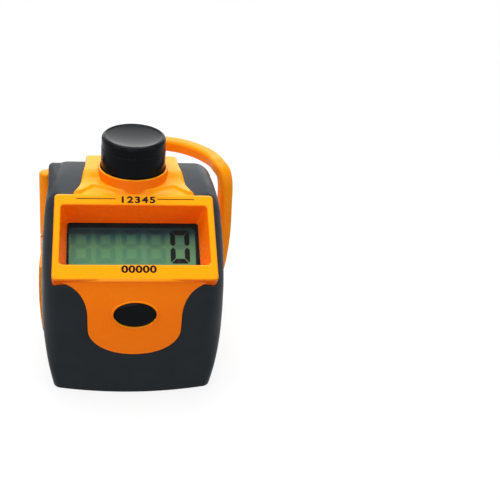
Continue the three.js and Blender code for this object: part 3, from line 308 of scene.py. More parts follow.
class Nodes:
    """A node material around one Principled shader, in the object's own coordinates."""

    def __init__(self, name):
        self.material = bpy.data.materials.new(name)
        self.material.use_nodes = True
        self.tree = self.material.node_tree
        self.shader = self.tree.nodes["Principled BSDF"]
        self.place = self.add("ShaderNodeTexCoord").outputs["Object"]

    def add(self, kind, **values):
        node = self.tree.nodes.new(kind)
        for key, value in values.items():
            setattr(node, key, value)
        return node

    def link(self, output, node_input):
        self.tree.links.new(output, node_input)

    def noise(self, size, detail=3.0, roughness=0.55, stretch=None):
        """Noise whose cells are about size millimetres across."""
        node = self.add("ShaderNodeTexNoise")
        node.inputs["Scale"].default_value = 1 / (size * MM)
        node.inputs["Detail"].default_value = detail
        node.inputs["Roughness"].default_value = roughness
        place = self.place
        if stretch:
            mapping = self.add("ShaderNodeMapping")
            mapping.inputs["Scale"].default_value = stretch
            self.link(self.place, mapping.inputs["Vector"])
            place = mapping.outputs["Vector"]
        self.link(place, node.inputs["Vector"])
        return node.outputs["Fac"]

    def ramp(self, factor, stops):
        node = self.add("ShaderNodeValToRGB")
        ramp = node.color_ramp
        while len(ramp.elements) < len(stops):
            ramp.elements.new(0.5)
        for element, (position, colour) in zip(ramp.elements, stops):
            element.position = position
            element.color = (*colour, 1)
        self.link(factor, node.inputs["Fac"])
        return node.outputs["Color"]

    def spread(self, factor, low, high):
        node = self.add("ShaderNodeMapRange")
        node.inputs["From Min"].default_value = 0.3
        node.inputs["From Max"].default_value = 0.7
        node.inputs["To Min"].default_value = low
        node.inputs["To Max"].default_value = high
        self.link(factor, node.inputs["Value"])
        return node.outputs["Result"]

    def bump(self, height, depth, strength=1.0, normal=None):
        """A bump whose full height is depth millimetres."""
        node = self.add("ShaderNodeBump")
        node.inputs["Strength"].default_value = strength
        node.inputs["Distance"].default_value = depth * MM
        self.link(height, node.inputs["Height"])
        if normal is not None:
            self.link(normal, node.inputs["Normal"])
        return node.outputs["Normal"]

    def rounded(self, radius):
        """Normals that round the edges by radius millimetres."""
        node = self.add("ShaderNodeBevel", samples=6)
        node.inputs["Radius"].default_value = radius * MM
        return node.outputs["Normal"]


def tinted(colour, factor):
    return tuple(min(1.0, c * factor) for c in colour)


def surface(name, colour, roughness, variation=0.06, patch=6.0, grain=0.5, grain_depth=0.01,
            metallic=0.0, edge=0.0, spread=0.05, stretch=None, shine=0.5, sheen=0.0):
    """Moulded plastic, rubber or metal: mottled colour, uneven gloss, fine grain and softened edges."""
    made = Nodes(name)
    mottle = made.noise(patch, 3.0)
    dark, light = tinted(colour, 1 - variation), tinted(colour, 1 + variation)
    base = made.ramp(mottle, [(0.32, dark), (0.5, colour), (0.68, light)])
    made.link(base, made.shader.inputs["Base Color"])
    fine = made.noise(grain, 2.0, stretch=stretch)
    gloss = made.spread(made.noise(patch * 0.6, 4.0, stretch=stretch), roughness - spread, roughness + spread)
    made.link(gloss, made.shader.inputs["Roughness"])
    soft = made.rounded(edge) if edge else None
    made.link(made.bump(fine, grain_depth, 0.6, soft), made.shader.inputs["Normal"])
    made.shader.inputs["Metallic"].default_value = metallic
    made.shader.inputs["Specular IOR Level"].default_value = shine
    made.shader.inputs["Sheen Weight"].default_value = sheen
    return made.material


def housing_painted_light_material(name, shaded, upright, lifted):
    """Moulded orange with painted light and shade: yellower where it faces up, redder where it faces down."""
    made = Nodes(name)
    axes = made.add("ShaderNodeSeparateXYZ")
    made.link(made.add("ShaderNodeNewGeometry").outputs["Normal"], axes.inputs["Vector"])
    # The painted light follows the upward normal, with a little random mottle mixed in.
    mottle = made.add("ShaderNodeMath", operation="MULTIPLY_ADD")
    mottle.inputs[1].default_value = 0.12
    made.link(made.noise(9.0, 3.0), mottle.inputs[0])
    made.link(axes.outputs["Z"], mottle.inputs[2])
    painted_light_facing = made.add("ShaderNodeMapRange")
    painted_light_facing.inputs["From Min"].default_value = -0.55
    painted_light_facing.inputs["From Max"].default_value = 1.0
    made.link(mottle.outputs["Value"], painted_light_facing.inputs["Value"])
    # Painted shade on faces turned down, plain orange on upright faces, painted light on faces turned up.
    stops = [(0.0, shaded), (0.38, upright), (0.50, upright), (0.86, lifted)]
    base = made.ramp(painted_light_facing.outputs["Result"], stops)
    made.link(base, made.shader.inputs["Base Color"])
    made.link(made.spread(made.noise(5.0, 2.0), 0.25, 0.29), made.shader.inputs["Roughness"])
    grain = made.bump(made.noise(0.6, 2.0), 0.003, 0.6, made.rounded(0.22))
    made.link(grain, made.shader.inputs["Normal"])
    made.shader.inputs["Specular IOR Level"].default_value = 0.10
    return made.material


def board_material():
    """Green solder mask over faint copper tracks."""
    made = Nodes("circuit_board")
    tracks = made.add("ShaderNodeTexBrick")
    tracks.inputs["Scale"].default_value = 260.0
    tracks.inputs["Mortar Size"].default_value = 0.09
    tracks.inputs["Color1"].default_value = (0.012, 0.10, 0.040, 1)
    tracks.inputs["Color2"].default_value = (0.016, 0.125, 0.050, 1)
    tracks.inputs["Mortar"].default_value = (0.035, 0.20, 0.085, 1)
    made.link(made.place, tracks.inputs["Vector"])
    made.link(tracks.outputs["Color"], made.shader.inputs["Base Color"])
    made.link(made.bump(tracks.outputs["Fac"], 0.02), made.shader.inputs["Normal"])
    made.link(made.spread(made.noise(1.5), 0.28, 0.4), made.shader.inputs["Roughness"])
    return made.material


def window_material():
    """Clear moulded window with faint haze."""
    made = Nodes("clear_plastic")
    haze = made.ramp(made.noise(3.0), [(0.3, (0.40, 0.46, 0.44)), (0.7, (0.50, 0.55, 0.53))])
    made.link(haze, made.shader.inputs["Base Color"])
    made.link(made.spread(made.noise(0.8), 0.03, 0.07), made.shader.inputs["Roughness"])
    made.shader.inputs["Alpha"].default_value = 0.012
    made.shader.inputs["Specular IOR Level"].default_value = 0.3
    return made.material


def crystal_material(name, low, middle, high):
    """Liquid crystal glass, green below, with painted shade toward the top of the display."""
    made = Nodes(name)
    axes = made.add("ShaderNodeSeparateXYZ")
    made.link(made.place, axes.inputs["Vector"])
    up = made.add("ShaderNodeMapRange")
    up.inputs["From Min"].default_value = face_point(6.3, CRYSTAL)[1] * MM
    up.inputs["From Max"].default_value = face_point(19.6, CRYSTAL)[1] * MM
    made.link(axes.outputs["Z"], up.inputs["Value"])
    grain = made.noise(0.35, 2.0)
    mixed = made.add("ShaderNodeMath", operation="MULTIPLY_ADD")
    mixed.inputs[1].default_value = 0.05
    made.link(grain, mixed.inputs[0])
    made.link(up.outputs["Result"], mixed.inputs[2])
    # Green crystal colour low down; the upper, darker stops are painted shade.
    colour = made.ramp(mixed.outputs["Value"], [
        (0.0, low), (0.56, tinted(low, 0.94)), (0.75, middle), (0.90, high), (1.0, tinted(high, 0.8))])
    made.link(colour, made.shader.inputs["Base Color"])
    made.link(made.spread(grain, 0.30, 0.40), made.shader.inputs["Roughness"])
    made.link(made.bump(grain, 0.004), made.shader.inputs["Normal"])
    made.shader.inputs["Specular IOR Level"].default_value = 0.05
    return made.material


# The case's orange: painted shade on faces turned down, painted light on faces turned up.
housing_orange_painted_light = housing_painted_light_material(
    "housing_orange_painted_light", (0.86, 0.125, 0.001), (0.94, 0.185, 0.001), (0.97, 0.345, 0.003))
orange = surface("orange_plastic", (0.96, 0.288, 0.002), 0.30, variation=0.03, patch=9.0, grain=0.6,
                 grain_depth=0.004, edge=0.32, shine=0.08)
black = surface("black_plastic", (0.0095, 0.0135, 0.017), 0.40, variation=0.12, patch=7.0, grain=0.22,
                grain_depth=0.010, edge=0.28, shine=0.15)
button_black = surface("button_plastic", (0.004, 0.0052, 0.0062), 0.20, variation=0.10, patch=5.0, grain=0.5,
                       grain_depth=0.003, shine=0.05)
# Black for the display's border, which also serves as painted shade at the top of the display.
border_and_shade_black = surface("border_and_shade_black", (0.004, 0.004, 0.005), 0.35, grain=0.3, shine=0.1)
white_plastic = surface("white_plastic", (0.78, 0.77, 0.73), 0.45)
flex_film = surface("flex_film", (0.35, 0.16, 0.05), 0.35, variation=0.15, patch=1.2)
resin = surface("black_resin", (0.010, 0.010, 0.010), 0.18, grain=1.2, grain_depth=0.05)
rubber = surface("grey_rubber", (0.33, 0.34, 0.35), 0.75, grain=0.15, sheen=0.2)
steel = surface("steel", (0.60, 0.60, 0.58), 0.30, metallic=1.0, stretch=(1, 12, 1), grain=0.5, edge=0.12)
brass = surface("contact_brass", (0.75, 0.55, 0.25), 0.30, metallic=1.0, stretch=(1, 12, 1), grain=0.4)
insulation = surface("lead_insulation", (0.55, 0.05, 0.04), 0.5, grain=0.3)
board = board_material()
clear = window_material()
# Lit and idle crystal, each with painted shade toward the top of the display.
crystal = crystal_material(
    "display_crystal", (0.115, 0.330, 0.180), (0.070, 0.235, 0.165), (0.016, 0.048, 0.064))
ghost = crystal_material(
    "display_ghost", (0.090, 0.270, 0.168), (0.044, 0.150, 0.130), (0.011, 0.034, 0.048))
ink = surface("printed_ink", (0.012, 0.004, 0.004), 0.5, variation=0.25, patch=0.6, grain=0.1, shine=0.06)
digit_black = surface("digit_black", (0.004, 0.007, 0.009), 0.5, variation=0.3, patch=0.8, shine=0.05)


# Case form

def split(outline, step):
    """Cuts the stretches of a closed outline so that none is longer than step."""
    out = []
    for point, following in zip(outline, outline[1:] + outline[:1]):
        gap = math.dist(point, following)
        if gap < 0.05:
            continue
        pieces = max(1, math.ceil(gap / step))
        out += [tuple(lerp(a, b, k / pieces) for a, b in zip(point, following)) for k in range(pieces)]
    return out


def side_outline(divisions=12, step=1.4):
    """The case's (y, z) outline: belly, leaning face, shoulder and back."""
    under = 6.0
    low, high = face_point(0, -FACE_PROUD), face_point(FACE_LENGTH, -FACE_PROUD)
    path = [(FRONT, -under)]
    path += bezier([path[-1], (FRONT - 0.2, 0.35 * low[1]), (FRONT + 0.9, 0.7 * low[1]),
                    (low[0] - 0.8, low[1] - 2.1)], divisions)
    path += bezier([path[-1], low, face_point(2.2, 0.15 - FACE_PROUD)], divisions)
    path += bezier([path[-1], face_point(FACE_LENGTH / 2, 1 - FACE_PROUD),
                    face_point(FACE_LENGTH - 2.2, 0.15 - FACE_PROUD)], divisions)
    path += bezier([path[-1], high, (high[0] + 2.2, high[1] + 0.6)], divisions)
    corner, radius = REAR - 1.2, 1.2
    path += bezier([path[-1], (corner - 7, SHOULDER), (corner, SHOULDER - 0.1)], divisions)
    path += [(corner + radius * math.cos(angle), SHOULDER - 0.1 - radius + radius * math.sin(angle))
             for angle in angles(75, 0, 5)]
    path.append((REAR, -under))
    return split(path, step)


def flank_x(y, z):
    """Half the case's width at a height and depth."""
    half, widest_y, widest_z = 25.9, 2, 20
    fall = 0.0019 if z > widest_z else 0.0059
    return half - fall * (z - widest_z) ** 2 - 0.0035 * (y - widest_y) ** 2


CENTRE = (2.0, SHOULDER * 0.42)


def case_rays(offset):
    """For each outline point: the point, its inward ray, lean, edge radius, crown and growth."""
    loop = side_outline()
    rays = []
    for i, point in enumerate(loop):
        before, after = loop[i - 1], loop[(i + 1) % len(loop)]
        tangent = (Vector(after) - Vector(before)).normalized()
        inward = (Vector(CENTRE) - Vector(point)).normalized()
        toward = abs(tangent.y * inward.x - tangent.x * inward.y)
        rearness = smoothstep(abs(tangent.y) * math.copysign(1, point[0]), 0.6, 0.98)
        grow = offset(point) if callable(offset) else offset
        front = lerp(FRONT_BASE_EDGE, FRONT_EDGE, smoothstep(point[1], 0, 20))
        radius = max(0.6, lerp(front, REAR_EDGE, rearness) + grow)
        behind = min(max((point[0] - FRONT) / DEPTH, 0), 1)
        rays.append((point, inward, max(0.5, toward), radius, CROWN * (1 - behind) ** 1.4, grow))
    return rays


def ring_point(ray, depth, flat_share, sine):
    """A surface point on a ray, across the crowned width or round its edge."""
    point, inward, lean, radius, crown, grow = ray
    x, at = 0.0, point
    for _ in range(3):
        edge = flank_x(*at) + grow
        x = flat_share * (edge - radius) + math.copysign(radius * sine, flat_share) * (flat_share != 0)
        inset = crown * (x / FACE_HALF) ** 2 + depth * radius - grow
        at = (point[0] + inward.x * inset / lean, point[1] + inward.y * inset / lean)
    return (x, *at)


def case_form(name, offset=0.0, floor=0.0, across=14, edge_steps=7):
    """The whole case form, grown by an offset, closed and cut flat at its floor."""
    rays = case_rays(offset)
    plain = 0.0 if callable(offset) else offset

    def side(sign):
        rim = [ring_point(ray, 1, sign, 1) for ray in rays]
        caps = []
        for share in (0.02, 0.2, 0.4, 0.6, 0.8, 0.92):
            ring = []
            for _, y, z in rim:
                cap_y, cap_z = lerp(CENTRE[0], y, share), lerp(CENTRE[1], z, share)
                ring.append((sign * (flank_x(cap_y, cap_z) + plain), cap_y, cap_z))
            caps.append(ring)
        rounding = []
        for k in range(edge_steps + 1):
            angle = math.pi / 2 * (1 - k / edge_steps)
            rounding.append([ring_point(ray, 1 - math.cos(angle), sign, math.sin(angle)) for ray in rays])
        return caps + rounding

    middle = [[ring_point(ray, 0, k / across, 0) for ray in rays] for k in range(1 - across, across)]
    rings = side(-1) + middle + side(1)[::-1]
    obj = Build().rings(rings, cap_start=True, cap_end=True).make(name)
    cut = bmesh.new()
    cut.from_mesh(obj.data)
    found = bmesh.ops.bisect_plane(
        cut, geom=cut.verts[:] + cut.edges[:] + cut.faces[:], dist=1e-7,
        plane_co=(0, 0, floor * MM), plane_no=(0, 0, 1), clear_inner=True)
    edges = [e for e in found["geom_cut"] if isinstance(e, bmesh.types.BMEdge)]
    bmesh.ops.holes_fill(cut, edges=edges, sides=0)
    bmesh.ops.recalc_face_normals(cut, faces=cut.faces)
    cut.to_mesh(obj.data)
    cut.free()
    return obj


def hollowed(obj):
    """Cuts the hollow inside the case's wall out of obj."""
    return carve(obj, case_form("cutter", -SHELL_WALL, SHELL_WALL, across=6, edge_steps=3))


# Outlines of the orange parts

def neck_outline(steps=16):
    brow_y = FACE_Y + FACE_LENGTH * math.cos(TILT) - 2.4
    length = REAR - brow_y
    half = [(13.2, REAR + 2), (13.2, REAR)]
    half += bezier([half[-1], (13.6, REAR - 0.4 * length), (14.26, REAR - 0.71 * length), (18.6, brow_y)],
                   steps)
    return mirrored(half)


def lobe_outline(steps=14):
    side = LOBE_BOTTOM + 10.75
    half = [(21.9, FACE_Z + 1.4), (21.9, FACE_Z - 1.4)]
    half += bezier([half[-1], (16.43, FACE_Z - 1.6), (12.99, side + 6), (12.93, side)], steps)
    half.append((12.8, LOBE_BOTTOM + 7))
    half += bezier([half[-1], (12.54, LOBE_BOTTOM + 3.2), (7.94, LOBE_BOTTOM), (0, LOBE_BOTTOM)], steps)
    return mirrored(half)


def parting_outline():
    shares = ((0, 0), (0.12, 0.26), (0.18, 0.54), (0.37, 0.76), (0.65, 0.91), (1, 1))
    knots = [(lerp(PARTING_Y, REAR, back), PARTING_TOP * up) for back, up in shares]
    path = [(FAR, -FAR / 2), (PARTING_Y, -FAR / 2), knots[0]]
    last = len(knots) - 1
    for i in range(last):
        p0, p1, p2, p3 = (knots[min(max(k, 0), last)] for k in range(i - 1, i + 3))
        for k in range(1, 9):
            t = k / 8
            path.append(tuple(
                0.5 * (2 * b + (c - a) * t + (2 * a - 5 * b + 4 * c - d) * t * t
                       + (3 * b - a - 3 * c + d) * t ** 3)
                for a, b, c, d in zip(p0, p1, p2, p3)))
    path.append((FAR, PARTING_TOP))
    return path


# Orange centre housing

def frame_rings():
    """Display frame: outer side, rounded edge, border, rounded mouth, funnel to the window."""
    edge, lip = 0.6, 0.45
    mouth_half, mouth_low, mouth_high = 20.1, 4.56, 21.9

    def level(half, s0, s1, radius, h):
        return [on_face(flare(x, s), s, h) for x, s in rounded_rectangle(-half, half, s0, s1, radius)]

    rings = [level(FACE_HALF, 0, FACE_LENGTH, FACE_CORNER, FRAME_BACK)]
    for angle in angles(0, 90, 6):
        inset = edge * (1 - math.cos(angle))
        rings.append(level(FACE_HALF - inset, inset, FACE_LENGTH - inset, FACE_CORNER - inset * 0.5,
                           edge * (math.sin(angle) - 1)))
    for angle in angles(0, 90, 6):
        out = lip * (1 - math.sin(angle))
        rings.append(level(mouth_half + out, mouth_low - out, mouth_high + out, 1.0 + out * 0.5,
                           lip * (math.cos(angle) - 1)))
    rings.append(level(18.38, 6.28, 20.18, 0.7, FUNNEL_END))
    rings.append(level(19.8, 5.0, 21.6, 0.9, FUNNEL_END))
    rings.append(level(20.5, 3.8, 22.4, 1.2, FRAME_BACK))
    rings.append(rings[0])
    return rings


def ledge_front(x):
    """Where the ledge breaks off: round the collar's foot, then out along two wings."""
    foot, wing, peak, peak_y = 10.5, 5.0, 11.2, 5.5
    side = abs(x)
    if side < peak:
        start = BUTTON_Y - math.sqrt(foot ** 2 - min(side, wing) ** 2)
        return start if side < wing else lerp(start, peak_y, ((side - wing) / (peak - wing)) ** 0.85)
    return max(1.9, peak_y - 0.9 * (side - peak))


def neck_height(x, y, brow):
    """Deck at the rear, a rounded step down to a ledge, then a break and a slope to the frame."""
    deck_half, step_y, ledge_middle, ledge_side, nick = 11.4, 7.6, 52.15, 51.75, 0.62
    side = max(0.0, abs(x) - deck_half)
    ledge_y = step_y - 0.3 * side
    ledge = lerp(ledge_middle, ledge_side, smoothstep(side, 0, 5))
    if y > ledge_y:
        return ledge + (DECK - ledge) * smoothstep(y - ledge_y, 0.0, 3.4 + 0.5 * side)
    front = max(ledge_front(x), brow[0] + 0.6)
    if y > front:
        return ledge
    fall = nick * smoothstep(front - y, 0.0, 0.7)
    share = min(1.0, (front - y) / max(front - brow[0], 0.1))
    return max(brow[1], lerp(ledge - fall, brow[1], share))


def neck():
    """The neck's moulding under the collar, with soft edges, cut by the button's and the stem's bores."""
    brow = face_point(FACE_LENGTH, -0.45)
    outline = [p for p in neck_outline(40) if p[0] > 0 and p[1] <= REAR + 0.01]
    outline.sort(key=lambda p: p[1])
    front, back = brow[0] - 0.6, REAR

    def half_width(y):
        for a, b in zip(outline, outline[1:]):
            if a[1] <= y <= b[1]:
                return lerp(a[0], b[0], (y - a[1]) / max(b[1] - a[1], 1e-9))
        return outline[-1][0] if y > outline[-1][1] else outline[0][0]

    def drop(t, radius):
        return radius - math.sqrt(max(0.0, radius ** 2 - (radius - min(t, radius)) ** 2))

    edge, rear_edge = 1.0, 1.4
    rows = [lerp(front, back - rear_edge, k / 72) for k in range(73)]
    rows += [back - rear_edge * math.cos(angle) for angle in angles(15, 90, 5)]
    rows[-1] = back
    insets = [edge * (1 - math.cos(angle)) for angle in angles(0, 84, 7)]
    top, bottom = [], []
    for y in rows:
        half = half_width(y)
        inner = half - insets[-1]
        columns = [half - t for t in insets] + [inner * (1 - k / 44) for k in range(1, 45)]
        columns += [-c for c in reversed(columns[:-1])]
        top.append([(x, y, neck_height(x, y, brow) - drop(half - abs(x), edge) - drop(back - y, rear_edge))
                    for x in columns])
        low = 46.35 if y > REAR - 1.9 else 47.6
        bottom.append([(x, y, low) for x in columns])
    made = Build().rings(top, closed=False).rings(bottom, closed=False)
    for end in (0, -1):
        made.rings([top[end], bottom[end]], closed=False)
    for end in (0, -1):
        made.rings([[row[end] for row in top], [row[end] for row in bottom]], closed=False)
    obj = made.make("neck")
    carve(obj, capped(lathe_rings([(BORE, 51.4), (BORE, 56)], 0, BUTTON_Y, 96)))
    return carve(obj, capped(lathe_rings([(2.3, 47), (2.3, 52)], 0, BUTTON_Y, 32)))


def collar():
    """Ring round the button, on a flared foot."""
    inner, outer = 0.25, 0.3
    profile = [(BORE, COLLAR_FOOT + 0.1), (BORE, COLLAR_TOP - inner)]
    for angle in angles(15, 90, 5):
        profile.append((BORE + inner * (1 - math.cos(angle)), COLLAR_TOP - inner + inner * math.sin(angle)))
    for angle in angles(90, 0, 6):
        profile.append((BORE + 0.35 + outer * math.cos(angle), COLLAR_TOP - outer + outer * math.sin(angle)))
    profile += bezier([profile[-1], (BORE + 0.65, 53.8), (BORE + 0.6, 52.6), (BORE + 0.78, COLLAR_FOOT)], 12)
    profile += [(BORE + 0.7, 49.5), (BORE + 0.4, 49.5), (BORE + 0.4, COLLAR_FOOT), (BORE, COLLAR_FOOT + 0.1)]
    rings = lathe_rings(profile, 0, BUTTON_Y, 96, clamp_y=REAR - 0.3)
    return Build().rings(rings).make("collar")


def lobe_offset(point):
    """Proud of the shell by half a millimetre, and swept out to meet the frame above."""
    y, z = point
    proud, sweep_out, reach = 0.5, 1.1, 3.0
    below = FACE_Z - 1.0 - z
    if y > 0 or below > reach:
        return proud
    return proud + sweep_out * (1 - math.sqrt(max(0.0, 1 - (1 - max(below, 0) / reach) ** 2)))


def reset_frame():
    """Where the belly stands at the reset button's height, and how it leans there."""
    outline = [p for p in side_outline() if p[0] < 0 and 1 < p[1] < FACE_Z]
    above = next(i for i, p in enumerate(outline) if p[1] > RESET_Z)
    low, high = outline[above - 1], outline[above]
    share = (RESET_Z - low[1]) / (high[1] - low[1])
    return lerp(low[0], high[0], share), math.atan2(high[1] - low[1], high[0] - low[0])


RESET_Y, RESET_TILT = reset_frame()
RESET_BASIS = Matrix.Translation((0, RESET_Y, RESET_Z)) @ Matrix.Rotation(RESET_TILT, 4, "X")


def oval_rings(profile, segments=96):
    """The profile carried round the reset button's oval."""
    return [[tuple(RESET_BASIS @ Vector((r * math.cos(angle), r * math.sin(angle) * RESET_OVAL, z)))
             for angle in circle(segments)] for r, z in profile]


def lobe():
    obj = case_form("lobe", lobe_offset)
    carve(obj, prism_y(lobe_outline(), -FAR / 2, FRONT + LOBE_DEPTH), "INTERSECT")
    hollowed(obj)
    carve(obj, face_prism(rounded_rectangle(-24, 24, 0.4, 27, 0.5), -9.0, 6.0))
    bore = RESET_HALF + 0.2
    return carve(obj, capped(oval_rings([(bore, -6), (bore, 6)])))


def reset_lip():
    """Soft rounded lip round the reset button's hole."""
    profile = [(RESET_HALF + 0.5 - 0.34 * math.cos(angle), 0.42 + 0.16 * math.sin(angle))
               for angle in angles(0, 180, 12)]
    profile += [(RESET_HALF + 0.84, -0.6), (RESET_HALF + 0.16, -0.6), profile[0]]
    return Build().rings(oval_rings(profile)).make("reset_lip")


housing = Build().rings(frame_rings()).make("housing")
join(housing, [neck(), collar(), lobe(), reset_lip()])
dress(housing, housing_orange_painted_light, "case", "orange_plastic", "centre_housing")


# Black front shell

def hinge_ear():
    """The shell's left rear corner, square over the hinge and lost in the flank ahead of it."""
    half, edge, low, top = 24.0, 1.5, KNUCKLE_TOP + 0.3, SHOULDER - 0.4
    plan = [(-half, REAR - 4.0), (-half, REAR - edge)]
    plan += bezier([plan[-1], (-half, REAR - 0.1), (edge - half, REAR - 0.1)], 6)
    plan += [(-19.5, REAR - 0.1), (-19.5, REAR - 4.0)]
    hull = bmesh.new()
    for angle in angles(0, 90, 6):
        inset, z = edge * (1 - math.cos(angle)), top - edge * (1 - math.sin(angle))
        for x, y in grown(plan, -inset):
            hull.verts.new((x * MM, y * MM, z * MM))
    for x, y in plan:
        hull.verts.new((x * MM, y * MM, low * MM))
    for x, y, z in ((-23.8, 6.0, low), (-22.9, 6.0, 49.0), (-20.0, 6.0, 50.2)):
        hull.verts.new((x * MM, y * MM, z * MM))
    bmesh.ops.convex_hull(hull, input=hull.verts)
    mesh = bpy.data.meshes.new("ear")
    hull.to_mesh(mesh)
    hull.free()
    obj = bpy.data.objects.new("ear", mesh)
    bpy.context.scene.collection.objects.link(obj)
    return hollowed(obj)


def black_shell():
    obj = hollowed(case_form("shell"))
    carve(obj, prism_x(grown(parting_outline(), SEAM), -FAR, FAR))
    carve(obj, prism_z(grown(neck_outline(), SEAM), 43.6, FAR))
    carve(obj, prism_y(grown(lobe_outline(), SEAM), -FAR / 2, FRONT + LOBE_DEPTH))
    frame_edge = rounded_rectangle(-FACE_HALF, FACE_HALF, 0, FACE_LENGTH, FACE_CORNER)
    carve(obj, face_prism(grown([(flare(x, s), s) for x, s in frame_edge], SEAM), -8.2, 6.4))
    return carve(obj, hinge_ear(), "UNION")


dress(black_shell(), black, "case", "black_plastic", "front_shell")


# Orange rear housing

def rear_shell():
    obj = hollowed(case_form("rear_shell"))
    carve(obj, prism_x(grown(parting_outline(), -SEAM), -FAR, FAR), "INTERSECT")
    door = rounded_rectangle(-8.6, 8.6, 3.6, 25.6, 2.0)
    carve(obj, prism_y(grown(door, 0.3), 20.0, REAR + 1))
    sink = 2.2
    for x, z in ((-18, 5.5), (18, 5.5), (-18.6, 42), (18.6, 42)):
        outline = [(x + sink * math.cos(angle), z + sink * math.sin(angle)) for angle in angles(0, 350, 35)]
        carve(obj, prism_y(outline, 18.9, REAR + 1))
    return obj


def seam_lip():
    """The tongue behind the seam between front and rear."""
    overlap = 1.3
    obj = hollowed(case_form("seam_lip", -0.9))
    carve(obj, prism_x(grown(parting_outline(), overlap), -FAR, FAR), "INTERSECT")
    return carve(obj, prism_x(grown(parting_outline(), -overlap), -FAR, FAR))


def cheek():
    """The raised strip low on the left flank, ahead of the hinge."""
    obj = case_form("cheek", 0.8)
    side = grown(parting_outline(), -SEAM)
    carve(obj, prism_x(side, -FAR, -12.95), "INTERSECT")
    carve(obj, prism_z([(-FAR, -FAR), (0, -FAR), (0, 16.5), (-FAR, 16.5)], 0, 27.0), "INTERSECT")
    taper = [(-18.1, 0), (-flank_x(0, 0) + 0.3, 0), (-27.5, 13), (-27.5, 27), (-18.1, 27)]
    return hollowed(carve(obj, prism_y(taper, -FAR, FAR), "INTERSECT"))


def hinge_web():
    """The web that carries the hinge's middle knuckle."""
    corner_x, reach = -flank_x(REAR, 27) + REAR_EDGE, KNUCKLE * 0.9
    outline = [(HINGE[0] - reach * 0.3, 16.5 - reach), (corner_x, 16.5 - reach), (corner_x, REAR - 0.1),
               (HINGE[0] + reach * 0.5, HINGE[1] + reach * 0.8), (HINGE[0] - reach, HINGE[1] - reach * 0.3)]
    return hollowed(prism_z(outline, *CASE_KNUCKLE, "web"))


def knuckle(low, high, edge=0.35):
    """A hinge barrel with soft ends."""
    flat = KNUCKLE - edge
    profile = [(0.05, low), (flat, low)]
    for angle in angles(22.5, 90, 3):
        profile.append((flat + edge * math.sin(angle), low + edge * (1 - math.cos(angle))))
    for angle in angles(0, 90, 4):
        profile.append((flat + edge * math.cos(angle), high - edge + edge * math.sin(angle)))
    profile.append((0.05, high))
    return capped(lathe_rings(profile, *HINGE, 48), "knuckle")


rear = join(rear_shell(), [seam_lip(), cheek(), hinge_web(), knuckle(*CASE_KNUCKLE)])
dress(rear, orange, "case", "orange_plastic", "rear_housing")


# Finger loop

def loop_path():
    """The bar's middle line: out along the top, down the upright at the right and back below."""
    side_x, side_y, far = 29.2, REAR + 0.5, REAR + 22.7
    low, hinge_z, high = LOOP_BOTTOM + BAR, KNUCKLE_TOP - BAR, SHOULDER - 1.6 - BAR
    tall = high - low
    plan = [HINGE, (HINGE[0] + 3.2, HINGE[1] + 2.9), (-18.2, REAR + 3.8), (-13.4, REAR + 4.5),
            (-9.4, REAR + 7.1), (-5.4, far - 11.6), (-1.0, far - 6), (3.6, far - 1.7), (8.2, far),
            (14.0, far - 1.4), (19.4, far - 5), (23.6, far - 9.8), (side_x - 3.4, far - 13.8)]
    upright = [(-2.3, 4, high), (-1.2, 1.9, high - 1.0), (-0.6, 0.7, high - 3.5),
               (-0.3, 0, low + tall * 0.72), (0, 0, low + tall * 0.48), (-0.4, 0, low + tall * 0.25),
               (-1.1, 0.3, low + 4.2), (-2, 1.9, low + 1.2), (-2.8, 4.4, low + 0.1)]
    top = [(x, y, lerp(hinge_z, high, smoothstep(x, HINGE[0], side_x))) for x, y in plan]
    right = [(side_x + x, side_y + y, z) for x, y, z in upright]
    return top + right + [(x, y, low) for x, y in reversed(plan)]


def smooth_curve(points, steps):
    """A centripetal Catmull-Rom curve through the points."""
    knots = [Vector(p) for p in points]
    knots = [2 * knots[0] - knots[1], *knots, 2 * knots[-1] - knots[-2]]
    out = []
    for i in range(1, len(knots) - 2):
        p0, p1, p2, p3 = knots[i - 1:i + 3]
        d0, d1, d2 = ((b - a).length ** 0.5 for a, b in ((p0, p1), (p1, p2), (p2, p3)))
        start = ((p1 - p0) / d0 - (p2 - p0) / (d0 + d1) + (p2 - p1) / d1) * d1
        end = ((p2 - p1) / d1 - (p3 - p1) / (d1 + d2) + (p3 - p2) / d2) * d1
        for k in range(steps):
            t = k / steps
            out.append(p1 + start * t + (3 * (p2 - p1) - 2 * start - end) * t * t
                       + (start + end - 2 * (p2 - p1)) * t ** 3)
    out.append(knots[-2])
    return out


def sweep(path, section):
    """Rings of the section along the path, carried without twisting."""
    rings = []
    side = Vector((0, 0, 1))
    for i, at in enumerate(path):
        tangent = (path[min(i + 1, len(path) - 1)] - path[max(i - 1, 0)]).normalized()
        side = (side - tangent * side.dot(tangent)).normalized()
        other = tangent.cross(side)
        rings.append([tuple(at + side * a + other * b) for a, b in section])
    return rings


def finger_loop():
    section = rounded_rectangle(-BAR, BAR, -BAR, BAR, 1.2, 5)
    bar = capped(sweep(smooth_curve(loop_path(), 8), section), "loop")
    below, above = CASE_KNUCKLE
    return join(bar, [knuckle(above + LOOP_KNUCKLE_GAP, KNUCKLE_TOP, edge=0.7),
                      knuckle(LOOP_BOTTOM, below - LOOP_KNUCKLE_GAP)])


dress(finger_loop(), orange, "loop", "orange_plastic", "finger_loop")


# Buttons

